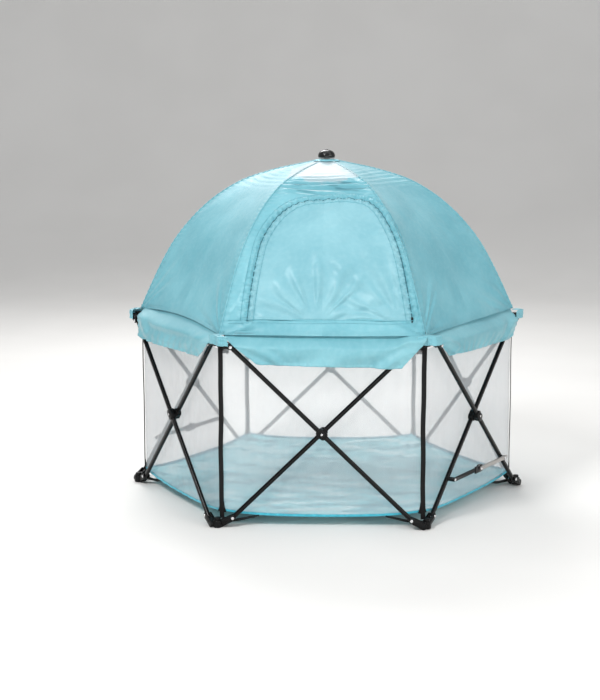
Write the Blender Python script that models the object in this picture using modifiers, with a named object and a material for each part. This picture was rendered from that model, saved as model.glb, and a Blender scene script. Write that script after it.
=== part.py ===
"""Travel play yard: a six-sided pop-up frame of crossed tubes with a fabric
canopy on six bowed ribs, see-through mesh walls and a suspended fabric floor.

Metres, +Z up. The origin is on the ground, under the middle of the yard.
Corner 0 is at 240 degrees, and the corners go anticlockwise from there, so
panel 0 (between corners 0 and 1) is the front one and faces -Y.
"""
import math

import bmesh
import bpy
from mathutils import Matrix, Vector

# ---------------------------------------------------------- shared dimensions
SIDES = 6
SIDE = 0.710             # corner-to-corner length of one panel = corner circle radius
APOTHEM = SIDE * math.cos(math.pi / 6)   # yard's axis to a panel's middle plane
PIN_E = 0.0524           # pin distance from the corner axis, along the panel
PIN_H = 0.590            # height of the upper pins over the lower pins
Z_LOW = 0.032            # lower pins over the ground
Z_UP = Z_LOW + PIN_H     # upper pins over the ground
SPAN = SIDE - 2 * PIN_E  # lower pin to upper pin, measured along the panel
TUBE_L = math.hypot(SPAN, PIN_H)
PHI = math.atan2(PIN_H, SPAN)   # slope of every crossed tube

TUBE_R = 0.008           # tube outside radius
TUBE_OFF = 0.010         # each tube's axis from the panel's middle plane

PIN_R = 0.0030
HEAD_R = 0.0055          # rivet head
HEAD_PROUD = 0.0018      # rivet head above the face it sits on
HEAD_SUNK = 0.0005       # rivet head below that face

RIB_PIVOT_RHO = 0.650    # rib's lower pivot, from the yard's axis
RIB_PIVOT_Z = Z_UP - 0.025
RIB_PIN_R = 0.0020
RIB_SLOT = 0.0046        # half width of the slots the rib ends turn in
CROWN_RHO = RIB_PIVOT_RHO - SPAN   # rib's upper pivot
CROWN_Z = RIB_PIVOT_Z + PIN_H

CUT_PAST = 0.02          # reach of a hole or slot cutter past what it cuts
SLOT_PAST = 0.03         # the same for the corner hubs' slots

# canopy outline in a rib's plane: distance from the axis, height over the upper pins
CANOPY = [
    (0.704, 0.022), (0.689, 0.046), (0.667, 0.089), (0.644, 0.134), (0.620, 0.182),
    (0.594, 0.232), (0.561, 0.288), (0.520, 0.343), (0.463, 0.404), (0.391, 0.463),
    (0.300, 0.515), (0.190, 0.551), (0.100, 0.571), (0.040, 0.585),
]

UP = Vector((0, 0, 1))
IDENTITY = Matrix()
Z_TO_X = Matrix.Rotation(math.pi / 2, 4, "Y")
Y_TO_Z = Matrix.Rotation(math.pi / 2, 4, "X")   # and local z to -y

# --------------------------------------------------------------------- scene
for old in list(bpy.data.objects):
    bpy.data.objects.remove(old, do_unlink=True)

yard = bpy.data.collections.new("travel_play_yard")
bpy.context.scene.collection.children.link(yard)


def material(name, colour, roughness, metallic=0.0):
    made = bpy.data.materials.new(name)
    made.use_nodes = True
    inputs = made.node_tree.nodes["Principled BSDF"].inputs
    inputs["Base Color"].default_value = (*colour, 1.0)
    inputs["Roughness"].default_value = roughness
    inputs["Metallic"].default_value = metallic
    return made


def place(name, mesh, mat, matrix=IDENTITY):
    """One named piece; smooth where the facets stand for a round."""
    piece = bpy.data.objects.new(name, mesh)
    yard.objects.link(piece)
    piece.matrix_world = matrix
    mesh.materials.append(mat)
    mesh.shade_smooth()
    mesh.set_sharp_from_angle(angle=math.radians(35))
    return piece


# ----------------------------------------------------- working objects, joins
def to_mesh(shape):
    mesh = bpy.data.meshes.new("piece")
    shape.to_mesh(mesh)
    shape.free()
    return mesh


def link_temp(data):
    """A working object that is removed once its shape has been used."""
    working = bpy.data.objects.new("temp", data)
    bpy.context.scene.collection.objects.link(working)
    return working


def temp(shape):
    """A working object from a bmesh, its faces turned outward."""
    bmesh.ops.recalc_face_normals(shape, faces=shape.faces)
    if shape.calc_volume(signed=True) < 0:
        bmesh.ops.reverse_faces(shape, faces=shape.faces)
    return link_temp(to_mesh(shape))


def bake(first, used=(), weld=1e-6):
    """The first object's shape with its modifiers applied; removes all the working objects."""
    bpy.context.view_layer.update()
    depsgraph = bpy.context.evaluated_depsgraph_get()
    mesh = bpy.data.meshes.new_from_object(first.evaluated_get(depsgraph))
    for working in (first, *used):
        bpy.data.objects.remove(working, do_unlink=True)
    shape = bmesh.new()
    shape.from_mesh(mesh)
    bmesh.ops.remove_doubles(shape, verts=shape.verts, dist=weld)
    return shape


def boolean(first, add=(), cut=()):
    for kind, parts in (("UNION", add), ("DIFFERENCE", cut)):
        for part in parts:
            step = first.modifiers.new(kind, "BOOLEAN")
            step.operation = kind
            step.solver = "EXACT"
            step.object = part
    return bake(first, used=(*add, *cut))


def join(first, add=(), cut=(), late=()):
    """Boolean working objects into one mesh; the late ones are added after the cuts."""
    shape = boolean(first, add, cut)
    if late:
        shape.normal_update()    # welding can leave stale normals
        shape = boolean(temp(shape), late)
    bmesh.ops.triangulate(shape, faces=shape.faces)
    return to_mesh(shape)


# -------------------------------------------------------------- basic shapes
def cylinder(radius, low, high, segments, matrix=IDENTITY):
    """Along local z from low to high."""
    shape = bmesh.new()
    bmesh.ops.create_cone(shape, cap_ends=True, segments=segments, radius1=radius,
                          radius2=radius, depth=high - low,
                          matrix=Matrix.Translation((0, 0, (low + high) / 2)))
    shape.transform(matrix)
    return temp(shape)


def box(x_range, y_range, z_range, matrix=IDENTITY):
    ranges = (x_range, y_range, z_range)
    centre = [(low + high) / 2 for low, high in ranges]
    size = [high - low for low, high in ranges]
    shape = bmesh.new()
    bmesh.ops.create_cube(shape, size=1.0,
                          matrix=Matrix.Translation(centre) @ Matrix.Diagonal((*size, 1)))
    shape.transform(matrix)
    return temp(shape)


def slab(outline, low, high, matrix=IDENTITY):
    """A flat outline in local x, y, extruded along local z from low to high."""
    shape = bmesh.new()
    face = shape.faces.new([shape.verts.new((x, y, low)) for x, y in outline])
    extruded = bmesh.ops.extrude_face_region(shape, geom=[face])
    top = [part for part in extruded["geom"] if isinstance(part, bmesh.types.BMVert)]
    bmesh.ops.translate(shape, verts=top, vec=(0, 0, high - low))
    shape.transform(matrix)
    return temp(shape)


def capsule(start, start_r, end, end_r, steps=4):
    """Outline of the hull of two circles in a plane."""
    start, end = Vector(start), Vector(end)
    line = end - start
    turn = math.atan2(line.y, line.x)
    lean = math.acos((start_r - end_r) / line.length)
    points = []
    for centre, radius, first, sweep in (
            (end, end_r, turn - lean, 2 * lean),
            (start, start_r, turn + lean, 2 * math.pi - 2 * lean)):
        for k in range(steps + 1):
            angle = first + sweep * k / steps
            points.append((centre.x + radius * math.cos(angle),
                           centre.y + radius * math.sin(angle)))
    return points


# -------------------------------------------------------------------- frames
def axes(x, y, z, at=(0, 0, 0)):
    """The matrix that takes local x, y, z to these directions."""
    matrix = Matrix((x, y, z)).transposed().to_4x4()
    matrix.translation = Vector(at)
    return matrix


def corner_angle(i):
    return math.radians(240 + 60 * i)


def radial(i):
    """Unit direction from the yard's axis to corner i."""
    return Vector((math.cos(corner_angle(i)), math.sin(corner_angle(i)), 0))


def corner(i):
    return Vector((SIDE * math.cos(corner_angle(i)), SIDE * math.sin(corner_angle(i)), 0))


def along(i):
    return (corner(i + 1) - corner(i)).normalized()


def outward(i):
    return along(i).cross(UP)


def crossing(i):
    """Where the tubes of panel i cross, in its middle plane."""
    return (corner(i) + corner(i + 1)) / 2 + UP * (Z_LOW + PIN_H / 2)


def panel(i, at):
    """Local x along panel i, y up, z outward."""
    return axes(along(i), UP, outward(i), at)


def rib_frame(i, at=(0, 0, 0)):
    """Local x inward from corner i, y up, z sideways, towards panel i."""
    x = -radial(i)
    return axes(x, UP, x.cross(UP), at)


# ----------------------------------------------------------------- materials
TUBE = material("tube_black", colour=(0.012, 0.012, 0.014), roughness=0.25, metallic=0.6)
PLASTIC = material("plastic_black", colour=(0.010, 0.010, 0.011), roughness=0.38)
RIB = material("rib_dark", colour=(0.030, 0.030, 0.034), roughness=0.35)
BAR = material("bar_grey", colour=(0.42, 0.41, 0.39), roughness=0.32, metallic=0.9)
CANOPY_CLOTH = material("canopy_cloth", colour=(0.22, 0.60, 0.68), roughness=0.45)
MESH_CLOTH = material("wall_mesh", colour=(0.80, 0.78, 0.78), roughness=0.80)
FLOOR_CLOTH = material("floor_cloth", colour=(0.36, 0.62, 0.68), roughness=0.60)
WEBBING = material("webbing_black", colour=(0.012, 0.012, 0.013), roughness=0.75)

# --------------------------------------------------------------------- tubes
TUBE_WALL = 0.0014
TUBE_TAIL = 0.010        # tube length past its pin
PIN_HOLE_R = 0.0036


def tube_mesh():
    """Open round section along local x, centred, with three pin holes along local z."""
    shape = bmesh.new()
    bmesh.ops.create_cone(shape, cap_ends=False, segments=12, radius1=TUBE_R,
                          radius2=TUBE_R, depth=2 * (TUBE_L / 2 + TUBE_TAIL), matrix=Z_TO_X)
    tube = temp(shape)
    wall = tube.modifiers.new("wall", "SOLIDIFY")
    wall.thickness = TUBE_WALL
    wall.offset = -1
    holes = [cylinder(PIN_HOLE_R, -CUT_PAST, CUT_PAST, segments=8,
                      matrix=Matrix.Translation((x, 0, 0)))
             for x in (-TUBE_L / 2, 0, TUBE_L / 2)]
    return join(tube, cut=holes)


def place_tubes():
    """In each panel, inner tube a rises along the panel and outer tube b falls."""
    tube = tube_mesh()
    for i in range(SIDES):
        for kind, side, turn in (("a", -1, PHI), ("b", 1, -PHI)):
            frame = panel(i, crossing(i) + outward(i) * TUBE_OFF * side)
            place(f"tube_{kind}{i}", tube.copy(), TUBE, frame @ Matrix.Rotation(turn, 4, "Z"))


# ------------------------------------------------- hubs where two tubes cross
CROSS_R = 0.024
CROSS_BORE_GAP = 0.0004            # between the outer tube and its bore
CROSS_BORE_REACH = 0.05            # half length of the bore's cutter
# from the panel's middle plane, outward
CROSS_BODY_Z = (-0.0016, 0.0208)
CROSS_PIN_Z = (-0.0215, 0.0225)
CROSS_INNER_HEAD_Z = (-0.0206, -0.0186)
CROSS_OUTER_HEAD_Z = (0.0200, 0.0228)


def cross_hub_mesh():
    """Local x along the outer tube, z outward, z = 0 on the panel's middle plane."""
    bore = cylinder(TUBE_R + CROSS_BORE_GAP, -CROSS_BORE_REACH, CROSS_BORE_REACH, segments=12,
                    matrix=Matrix.Translation((0, 0, TUBE_OFF)) @ Z_TO_X)
    return join(cylinder(CROSS_R, *CROSS_BODY_Z, segments=18), cut=[bore],
                late=[cylinder(PIN_R, *CROSS_PIN_Z, segments=8),
                      cylinder(HEAD_R, *CROSS_INNER_HEAD_Z, segments=9),
                      cylinder(HEAD_R, *CROSS_OUTER_HEAD_Z, segments=9)])


def place_cross_hubs():
    hub = cross_hub_mesh()
    for i in range(SIDES):
        place(f"cross_hub_{i}", hub.copy(), PLASTIC,
              panel(i, crossing(i)) @ Matrix.Rotation(-PHI, 4, "Z"))


# --------------------------------------------------------------- corner hubs
ARM_ROOT_X = 0.004       # arm's root circle, from the corner axis
ARM_ROOT_R = 0.012
ARM_R = 0.0115           # rounded end of a hub arm
ARM_T = 0.0035           # cheek thickness
SLOT = 0.0085            # half width of the slot a tube turns in
SLOT_DEPTH = 0.0140      # slot's end, from the pin towards the corner
RIVET_PROUD = 0.001      # rivet shank past the cheeks
CORE_R = 0.017

# heights from the hub's pins
FOOT_ROOT_Y = -0.018
FOOT_CORE_Z = (-Z_LOW, 0.0)
TOP_ROOT_Y = -0.014
TOP_CORE_Z = (-0.026, 0.018)

# block on a foot hub's inward side, in the rib frame
FOOT_BLOCK = ((0.008, 0.031), (-0.024, -0.012), (-0.007, 0.007))

# forked lug on a top hub's inward side, in the rib frame
LUG_ROOT = (0.012, -0.016)
LUG_END = (SIDE - RIB_PIVOT_RHO, RIB_PIVOT_Z - Z_UP)
LUG_R = 0.009
LUG_HALF_W = 0.0082
LUG_SLOT_DEPTH = 0.0185  # slot's end, from the pivot towards the corner
LUG_PIN_HALF = 0.0094


def arm(frame, root_y, centre_z):
    """A forked arm along local x (y up, z across the panel), its slot round a tube
    at z = centre_z: the solid, the slot and the rivet's parts."""
    outline = capsule((ARM_ROOT_X, root_y), ARM_ROOT_R, (PIN_E, 0.0), ARM_R)
    half = SLOT + ARM_T
    low, high = centre_z - half, centre_z + half
    solid = slab(outline, low, high, frame)
    slot = box((PIN_E - SLOT_DEPTH, PIN_E + SLOT_PAST), (-SLOT_PAST, SLOT_PAST),
               (centre_z - SLOT, centre_z + SLOT), frame)
    at = frame @ Matrix.Translation((PIN_E, 0, 0))
    rivet = [cylinder(PIN_R, low - RIVET_PROUD, high + RIVET_PROUD, segments=8, matrix=at),
             cylinder(HEAD_R, low - HEAD_PROUD, low + HEAD_SUNK, segments=10, matrix=at),
             cylinder(HEAD_R, high - HEAD_SUNK, high + HEAD_PROUD, segments=10, matrix=at)]
    return solid, slot, rivet


def hub_mesh(root_y, core_z, tube_z, extra, cut=(), late=()):
    """A hub for corner 0: its corner axis is local z, its pins are at z = 0.

    tube_z places both tubes across their panels. It counts outward in panel 0 and
    inward in panel 5, so one tube is an outer one and the other an inner one.
    """
    to_next = axes(along(0), UP, outward(0))
    to_previous = axes(-along(-1), UP, -outward(-1))
    solid, slot, rivet = arm(to_next, root_y, tube_z)
    solid_2, slot_2, rivet_2 = arm(to_previous, root_y, tube_z)
    core = cylinder(CORE_R, *core_z, segments=16)
    return join(solid, add=[solid_2, core, extra], cut=[slot, slot_2, *cut],
                late=[*rivet, *rivet_2, *late])


def foot_hub_mesh():
    return hub_mesh(FOOT_ROOT_Y, FOOT_CORE_Z, -TUBE_OFF, extra=box(*FOOT_BLOCK, rib_frame(0)))


def top_hub_mesh():
    """The upper hub also has the lug and pin for a rib's lower end."""
    inward = rib_frame(0)
    x, y = LUG_END
    lug = slab(capsule(LUG_ROOT, LUG_R, LUG_END, LUG_R), -LUG_HALF_W, LUG_HALF_W, inward)
    slot = box((x - LUG_SLOT_DEPTH, x + SLOT_PAST), (y - SLOT_PAST, y + SLOT_PAST),
               (-RIB_SLOT, RIB_SLOT), inward)
    pin = cylinder(RIB_PIN_R, -LUG_PIN_HALF, LUG_PIN_HALF, segments=9,
                   matrix=inward @ Matrix.Translation((x, y, 0)))
    return hub_mesh(TOP_ROOT_Y, TOP_CORE_Z, TUBE_OFF, extra=lug, cut=[slot], late=[pin])


def place_corner_hubs():
    for name, hub, height in (("foot_hub", foot_hub_mesh(), Z_LOW),
                              ("top_hub", top_hub_mesh(), Z_UP)):
        for i in range(SIDES):
            spin = Matrix.Rotation(math.radians(60 * i), 4, "Z")
            place(f"{name}_{i}", hub.copy(), PLASTIC,
                  Matrix.Translation(corner(i) + UP * height) @ spin)


# ---------------------------------------------------------------------- ribs
RIB_R = 0.004
RIB_GAP = 0.0125         # rib axis inside the canopy
RIB_RHO_MAX = RIB_PIVOT_RHO + 0.004
EYE_R = 0.0060
EYE_HALF_W = 0.0042
EYE_HOLE_R = 0.0025


def rib_path():
    """The rib's centre line from the lower pivot to the crown pivot, (rho, z)."""
    points = [(RIB_PIVOT_RHO, RIB_PIVOT_Z)]
    for before, here, after in zip(CANOPY, CANOPY[1:], CANOPY[2:]):
        rise = Vector((after[0] - before[0], after[1] - before[1])).normalized()
        inner = Vector((-rise.y, rise.x)) * RIB_GAP     # inward and down
        point = Vector((here[0], here[1] + Z_UP)) + inner
        points.append((min(point.x, RIB_RHO_MAX), point.y))
    points.append((CROWN_RHO, CROWN_Z))
    return points


def rib_mesh():
    """A round rod along the path, with flat-sided eyes at both ends, in the plane y = 0."""
    path = rib_path()
    curve = bpy.data.curves.new("rib", "CURVE")
    curve.dimensions = "3D"
    curve.bevel_depth = RIB_R
    curve.bevel_resolution = 1
    curve.use_fill_caps = True
    spline = curve.splines.new("POLY")
    spline.points.add(len(path) - 1)
    for point, (rho, z) in zip(spline.points, path):
        point.co = (rho, 0, z, 1)
    rod = temp(bake(link_temp(curve), weld=1e-5))
    eyes, holes = [], []
    for rho, z in (path[0], path[-1]):
        at = Matrix.Translation((rho, 0, z)) @ Y_TO_Z
        eyes.append(cylinder(EYE_R, -EYE_HALF_W, EYE_HALF_W, segments=14, matrix=at))
        holes.append(cylinder(EYE_HOLE_R, -CUT_PAST, CUT_PAST, segments=8, matrix=at))
    return join(rod, add=eyes, cut=holes)


def place_ribs():
    rib = rib_mesh()
    for i in range(SIDES):
        place(f"rib_{i}", rib.copy(), RIB, Matrix.Rotation(corner_angle(i), 4, "Z"))


# --------------------------------------------------------------------- crown
CROWN_R = 0.056
CROWN_BELOW, CROWN_ABOVE = 0.009, 0.007   # disc's faces from the rib pivots
CROWN_SLOT_DEPTH = 0.0125                 # slot's end, inward from the pivot
CROWN_SLOT_PAST = 0.01
CROWN_PIN_HALF = 0.0090
POST_R = 0.012
POST_TOP = Z_UP + 0.5905

# knob's turned outline: radius, height over the upper pins
KNOB_PROFILE = [
    (0.0, 0.6240), (0.0065, 0.6240), (0.0070, 0.6215), (0.0150, 0.6205), (0.0235, 0.6165),
    (0.0292, 0.6100), (0.0310, 0.6030), (0.0308, 0.5965), (0.0285, 0.5935), (0.0, 0.5935),
]


def place_crown_hub():
    """A disc with a slot and pin for each rib's upper end, and a post up to the knob."""
    disc = cylinder(CROWN_R, CROWN_Z - CROWN_BELOW, CROWN_Z + CROWN_ABOVE, segments=36)
    post = cylinder(POST_R, CROWN_Z, POST_TOP, segments=16)
    slots, pins = [], []
    for i in range(SIDES):
        frame = rib_frame(i)
        slots.append(box((-CROWN_R - CROWN_SLOT_PAST, -CROWN_RHO + CROWN_SLOT_DEPTH),
                         (CROWN_Z - CUT_PAST, CROWN_Z + CUT_PAST),
                         (-RIB_SLOT, RIB_SLOT), frame))
        pins.append(cylinder(RIB_PIN_R, -CROWN_PIN_HALF, CROWN_PIN_HALF, segments=8,
                             matrix=frame @ Matrix.Translation((-CROWN_RHO, CROWN_Z, 0))))
    place("crown_hub", join(disc, add=[post], cut=slots, late=pins), PLASTIC)


def place_crown_knob():
    """The knob over the canopy."""
    shape = bmesh.new()
    verts = [shape.verts.new((radius, 0, z + Z_UP)) for radius, z in KNOB_PROFILE]
    for pair in zip(verts, verts[1:]):
        shape.edges.new(pair)
    knob = link_temp(to_mesh(shape))
    turn = knob.modifiers.new("turn", "SCREW")
    turn.steps = turn.render_steps = 28
    turn.use_merge_vertices = True
    turn.merge_threshold = 1e-4
    turn.use_normal_calculate = True
    place("crown_knob", join(knob), PLASTIC)


# -------------------------------------------------------------------- canopy
CLOTH_T = 0.0014
SKIRT_OFF = 0.022        # skirt's upper row, outside the panel's middle plane
SKIRT_FLARE = 0.002      # added corner radius at the lower row
SKIRT_DROP = 0.062       # lower row below the upper pins

# vertex places from one corner (0) to the next (1)
GORE_SHARES = (0.0, 0.12, 0.31, 0.5, 0.69, 0.88)
SKIRT_UPPER_SHARES = (0.125, 0.31, 0.5, 0.69, 0.875)
SKIRT_LOWER_SHARES = (0.215, 0.36, 0.5, 0.64, 0.785)


def canopy_mesh():
    """Six flat-sided gores from ring to ring, and a tapered skirt under each gore."""
    shape = bmesh.new()
    corners = [radial(i) for i in range(SIDES)]

    def row(i, shares, rho, z):
        """Vertices along side i of the hexagon with corner radius rho."""
        start, end = corners[i], corners[(i + 1) % SIDES]
        points = [start.lerp(end, share) * rho for share in shares]
        return [shape.verts.new((p.x, p.y, z + Z_UP)) for p in points]

    rings = [[vert for i in range(SIDES) for vert in row(i, GORE_SHARES, rho, z)]
             for rho, z in CANOPY]
    count = len(rings[0])
    for low, high in zip(rings, rings[1:]):
        for k in range(count):
            after = (k + 1) % count
            shape.faces.new((low[k], low[after], high[after], high[k]))

    skirt_rho = (APOTHEM + SKIRT_OFF) / math.cos(math.pi / 6)
    for i in range(SIDES):
        start = len(GORE_SHARES) * i
        rim = rings[0][start + 1:start + len(GORE_SHARES)]
        upper = row(i, SKIRT_UPPER_SHARES, skirt_rho, 0.0)
        lower = row(i, SKIRT_LOWER_SHARES, skirt_rho + SKIRT_FLARE, -SKIRT_DROP)
        for low, high in ((upper, rim), (lower, upper)):
            for j in range(len(low) - 1):
                shape.faces.new((low[j], low[j + 1], high[j + 1], high[j]))
    bmesh.ops.recalc_face_normals(shape, faces=shape.faces)
    return to_mesh(shape)


def place_canopy():
    canopy = place("canopy", canopy_mesh(), CANOPY_CLOTH)
    cloth = canopy.modifiers.new("cloth", "SOLIDIFY")
    cloth.thickness = CLOTH_T
    cloth.offset = -1
    cloth.use_even_offset = True


# ----------------------------------------------------------- walls and floor
WALL_OFF = 0.028         # mesh wall, inside the panel's middle plane
WALL_Z0, WALL_Z1 = 0.036, Z_UP - 0.047
WALL_HALF_T = 0.0006
WALL_SETBACK = 0.0006    # each upright edge, from where the walls' planes meet

FLOOR_OFF = 0.032        # floor's edge, inside the panel's middle plane
FLOOR_Z = 0.030
FLOOR_T = 0.003


def place_walls():
    distance = APOTHEM - WALL_OFF
    half = distance * math.tan(math.pi / 6) - WALL_SETBACK
    outline = [(-half, WALL_Z0), (half, WALL_Z0), (half, WALL_Z1), (-half, WALL_Z1)]
    for i in range(SIDES):
        wall = slab(outline, -WALL_HALF_T, WALL_HALF_T, panel(i, outward(i) * distance))
        place(f"wall_{i}", join(wall), MESH_CLOTH)


def place_floor():
    radius = (APOTHEM - FLOOR_OFF) / math.cos(math.pi / 6)
    shape = bmesh.new()
    bmesh.ops.create_cone(shape, cap_ends=True, segments=SIDES, radius1=radius,
                          radius2=radius, depth=FLOOR_T,
                          matrix=Matrix.Translation((0, 0, FLOOR_Z + FLOOR_T / 2)))
    # turn the hexagon so that its points are at the corners
    point = max(shape.verts, key=lambda vert: vert.co.x).co
    shape.transform(Matrix.Rotation(-math.atan2(point.y, point.x), 4, "Z"))
    place("floor", join(temp(shape)), FLOOR_CLOTH)


# -------------------------------------------------------------------- straps
STRAP_D = 0.0335         # strap's outer end, inward from the corner axis
STRAP_Z = 0.0145
STRAP_W = 0.018
STRAP_HALF_T = 0.0008
STRAP_LEN = 0.045
STRAP_SKEW = math.radians(28)
STRAP_LEAN = (-1, 1, 1, -1, 1, -1)   # by corner i: 1 leans towards panel i, -1 away from it


def place_straps():
    near, far = STRAP_D, STRAP_D + STRAP_LEN
    half = STRAP_W / 2
    for i, lean in enumerate(STRAP_LEAN):
        shift = lean * STRAP_LEN * math.tan(STRAP_SKEW)
        outline = [(near, -half), (near, half), (far, half + shift), (far, -half + shift)]
        # lying flat: local y runs sideways, towards panel i, and local z down
        flat = rib_frame(i, corner(i)) @ Y_TO_Z
        strap = slab(outline, -STRAP_Z - STRAP_HALF_T, -STRAP_Z + STRAP_HALF_T, flat)
        place(f"strap_{i}", join(strap), WEBBING)


# --------------------------------------------------------------- lock struts
LOCK_PANELS = (1, 4)     # panels with a folding lock strut
LOCK_S = 0.270           # strut pivots on the tubes, from the crossing
LOCK_REACH = LOCK_S * math.cos(PHI)   # each bar's length, pivot to knee
LOCK_DROP = LOCK_S * math.sin(PHI)    # pivots below the crossing
BAR_T = 0.003
BAR_R = 0.015 / 2        # half the bar's height
BOSS_R = 0.0078
BOSS_OVERLAP = 0.001     # boss into its bar

# z is outward from the panel's middle plane, x along the panel from the knee
INNER_Z = 0.0186         # panel-side face of the inner bar
OUTER_Z = INNER_Z + 0.0060
INNER_BOSS_Z = -0.0014   # bosses' panel-side ends
OUTER_BOSS_Z = 0.0184
INNER_BAR_END = -0.020
OUTER_BAR_PAST = 0.012   # outer bar's end circle past its pivot

# x, y, z ranges at the knee: y from the pivots' line, z from INNER_Z
KNEE_BLOCK = ((-0.036, 0.016), (-0.013, 0.011), (-0.0002, 0.0054))
KNEE_HOLLOW = ((-0.022, -0.004), (0.004, 0.020), (0.0012, 0.0090))
KNEE_BUTTON = ((-0.0216, -0.0044), (0.0075, 0.0165), (0.0016, 0.0054))


def knee_box(ranges, frame):
    x_range, y_range, (low, high) = ranges
    return box(x_range, y_range, (INNER_Z + low, INNER_Z + high), frame)


def lock_bar(frame, x_start, x_end, bar_z):
    return slab(capsule((x_start, 0), BAR_R, (x_end, 0), BAR_R), bar_z, bar_z + BAR_T, frame)


def lock_boss(frame, x, low, bar_z):
    return cylinder(BOSS_R, low, bar_z + BOSS_OVERLAP, segments=14,
                    matrix=frame @ Matrix.Translation((x, 0, 0)))


def lock_head(frame, x, bar_z):
    """A rivet head on a bar's outward face."""
    face = bar_z + BAR_T
    return cylinder(HEAD_R, face - HEAD_SUNK, face + HEAD_PROUD, segments=12,
                    matrix=frame @ Matrix.Translation((x, 0, 0)))


def place_lock(i):
    """A level strut outside panel i, with the release button in its knee housing's top."""
    frame = panel(i, crossing(i) - UP * LOCK_DROP)

    # from the inner tube, with the knee housing at its far end
    inner = join(lock_bar(frame, -LOCK_REACH, INNER_BAR_END, INNER_Z),
                 add=[lock_boss(frame, -LOCK_REACH, INNER_BOSS_Z, INNER_Z),
                      lock_head(frame, -LOCK_REACH, INNER_Z),
                      knee_box(KNEE_BLOCK, frame)],
                 cut=[knee_box(KNEE_HOLLOW, frame)])
    place(f"lock_bar_inner_{i}", inner, PLASTIC)
    place(f"lock_button_{i}", join(knee_box(KNEE_BUTTON, frame)), PLASTIC)

    # from the knee to the outer tube
    outer = join(lock_bar(frame, 0.0, LOCK_REACH + OUTER_BAR_PAST, OUTER_Z),
                 add=[lock_boss(frame, LOCK_REACH, OUTER_BOSS_Z, OUTER_Z),
                      lock_head(frame, 0.0, OUTER_Z),
                      lock_head(frame, LOCK_REACH, OUTER_Z)])
    place(f"lock_bar_outer_{i}", outer, BAR)


# --------------------------------------------------------------------- build
place_tubes()
place_cross_hubs()
place_corner_hubs()
place_ribs()
place_crown_hub()
place_crown_knob()
place_canopy()
place_walls()
place_floor()
place_straps()
for lock_panel in LOCK_PANELS:
    place_lock(lock_panel)
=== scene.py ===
"""A travel play yard: a six-sided folding frame with netting walls, a cloth floor and a domed
canopy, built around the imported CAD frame.

It stands on z = 0, centred on the z axis. Corner i lies at 240 + 60 i degrees and panel i runs
from corner i to corner i + 1, so panel 0 is the front one, facing -y, with corner 0 on its left
(-x) and corner 1 on its right. The canopy's gores are numbered like the panels, its ribs like
the corners."""
import math

import bpy
import bmesh
import numpy as np
from mathutils import Matrix, Vector


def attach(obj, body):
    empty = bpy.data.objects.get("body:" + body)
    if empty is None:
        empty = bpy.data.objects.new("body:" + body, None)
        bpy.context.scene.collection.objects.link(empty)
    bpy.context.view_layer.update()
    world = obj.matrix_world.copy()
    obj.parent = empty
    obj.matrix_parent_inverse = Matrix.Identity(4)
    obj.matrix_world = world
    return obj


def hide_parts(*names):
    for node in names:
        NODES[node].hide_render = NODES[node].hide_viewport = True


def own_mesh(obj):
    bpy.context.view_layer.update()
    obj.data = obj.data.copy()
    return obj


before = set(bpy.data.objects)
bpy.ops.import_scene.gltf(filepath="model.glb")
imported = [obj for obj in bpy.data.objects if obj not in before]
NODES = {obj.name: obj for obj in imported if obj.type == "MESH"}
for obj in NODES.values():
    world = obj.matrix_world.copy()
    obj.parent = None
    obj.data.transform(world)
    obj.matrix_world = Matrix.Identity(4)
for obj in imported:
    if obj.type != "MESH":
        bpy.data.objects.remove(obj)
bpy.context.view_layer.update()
UP = Vector((0, 0, 1))

# ------------------------------------------------------------------ dimensions
SIDE = 0.710                # panel width, also the corners' distance from the middle
PIN_E = 0.0524              # tube pins from the corner, along the panel
PIN_H = 0.590               # upper pins over lower pins
Z_LOW = 0.032
Z_UP = Z_LOW + PIN_H
SPAN = SIDE - 2 * PIN_E
TUBE_L = math.hypot(SPAN, PIN_H)
TILT = math.atan2(PIN_H, SPAN)
TUBE_OFF = 0.010            # tube centres either side of the panel's plane
RIB_RHO = 0.650             # the ribs' lower pins
RIB_Z = Z_UP - 0.025
APOTHEM = SIDE * math.cos(math.pi / 6)
ARM_HALF = 0.0120           # half the thickness of a hub's arm

# how narrow the cloth becomes when the frame folds
FOLD_MAX = math.radians(36)
FOLD_SIDE = TUBE_L * math.cos(TILT + FOLD_MAX) + 2 * PIN_E
STRAP_D, STRAP_Z = 0.0335, 0.0145
FLOOR_KEEP = (FOLD_SIDE - STRAP_D) / (SIDE - STRAP_D)
WALL_KEEP = FOLD_SIDE / SIDE
DOME_KEEP = 0.76


# ------------------------------------------------------------ places and folding
def corner_angle(i):
    return math.radians(240 + 60 * i)


def radial(i):
    return Vector((math.cos(corner_angle(i)), math.sin(corner_angle(i)), 0))


def tangent(i):
    return Vector((-math.sin(corner_angle(i)), math.cos(corner_angle(i)), 0))


def corner(i):
    return radial(i) * SIDE


def along(i):
    return (corner(i + 1) - corner(i)).normalized()


def outward(i):
    return along(i).cross(UP)


def cross_point(i):
    """Where the two tubes of panel i cross."""
    return (corner(i) + corner(i + 1)) / 2 + UP * (Z_LOW + PIN_H / 2)


def arms(i):
    """The panels that meet at corner i: each one's direction away from it, and outward."""
    return (along(i), outward(i)), (-along(i - 1), outward(i - 1))


RADIALS = np.array([radial(i) for i in range(6)])
TANGENTS = np.array([tangent(i) for i in range(6)])


def on_panel(i, run, out, z):
    """Points at run along panel i, out from its plane, and height z."""
    points = (np.array(corner(i)) + np.array(along(i)) * run[..., None]
              + np.array(outward(i)) * out[..., None])
    points[..., 2] = z
    return points


def on_corner(i, rho, aside, z):
    """Points at rho from the yard's middle towards corner i, aside from that line."""
    points = RADIALS[i] * rho[..., None] + TANGENTS[i] * aside[..., None]
    points[..., 2] = z
    return points


def rib_fold(i):
    return tangent(i), radial(i) * RIB_RHO + UP * RIB_Z, DOME_KEEP


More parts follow.
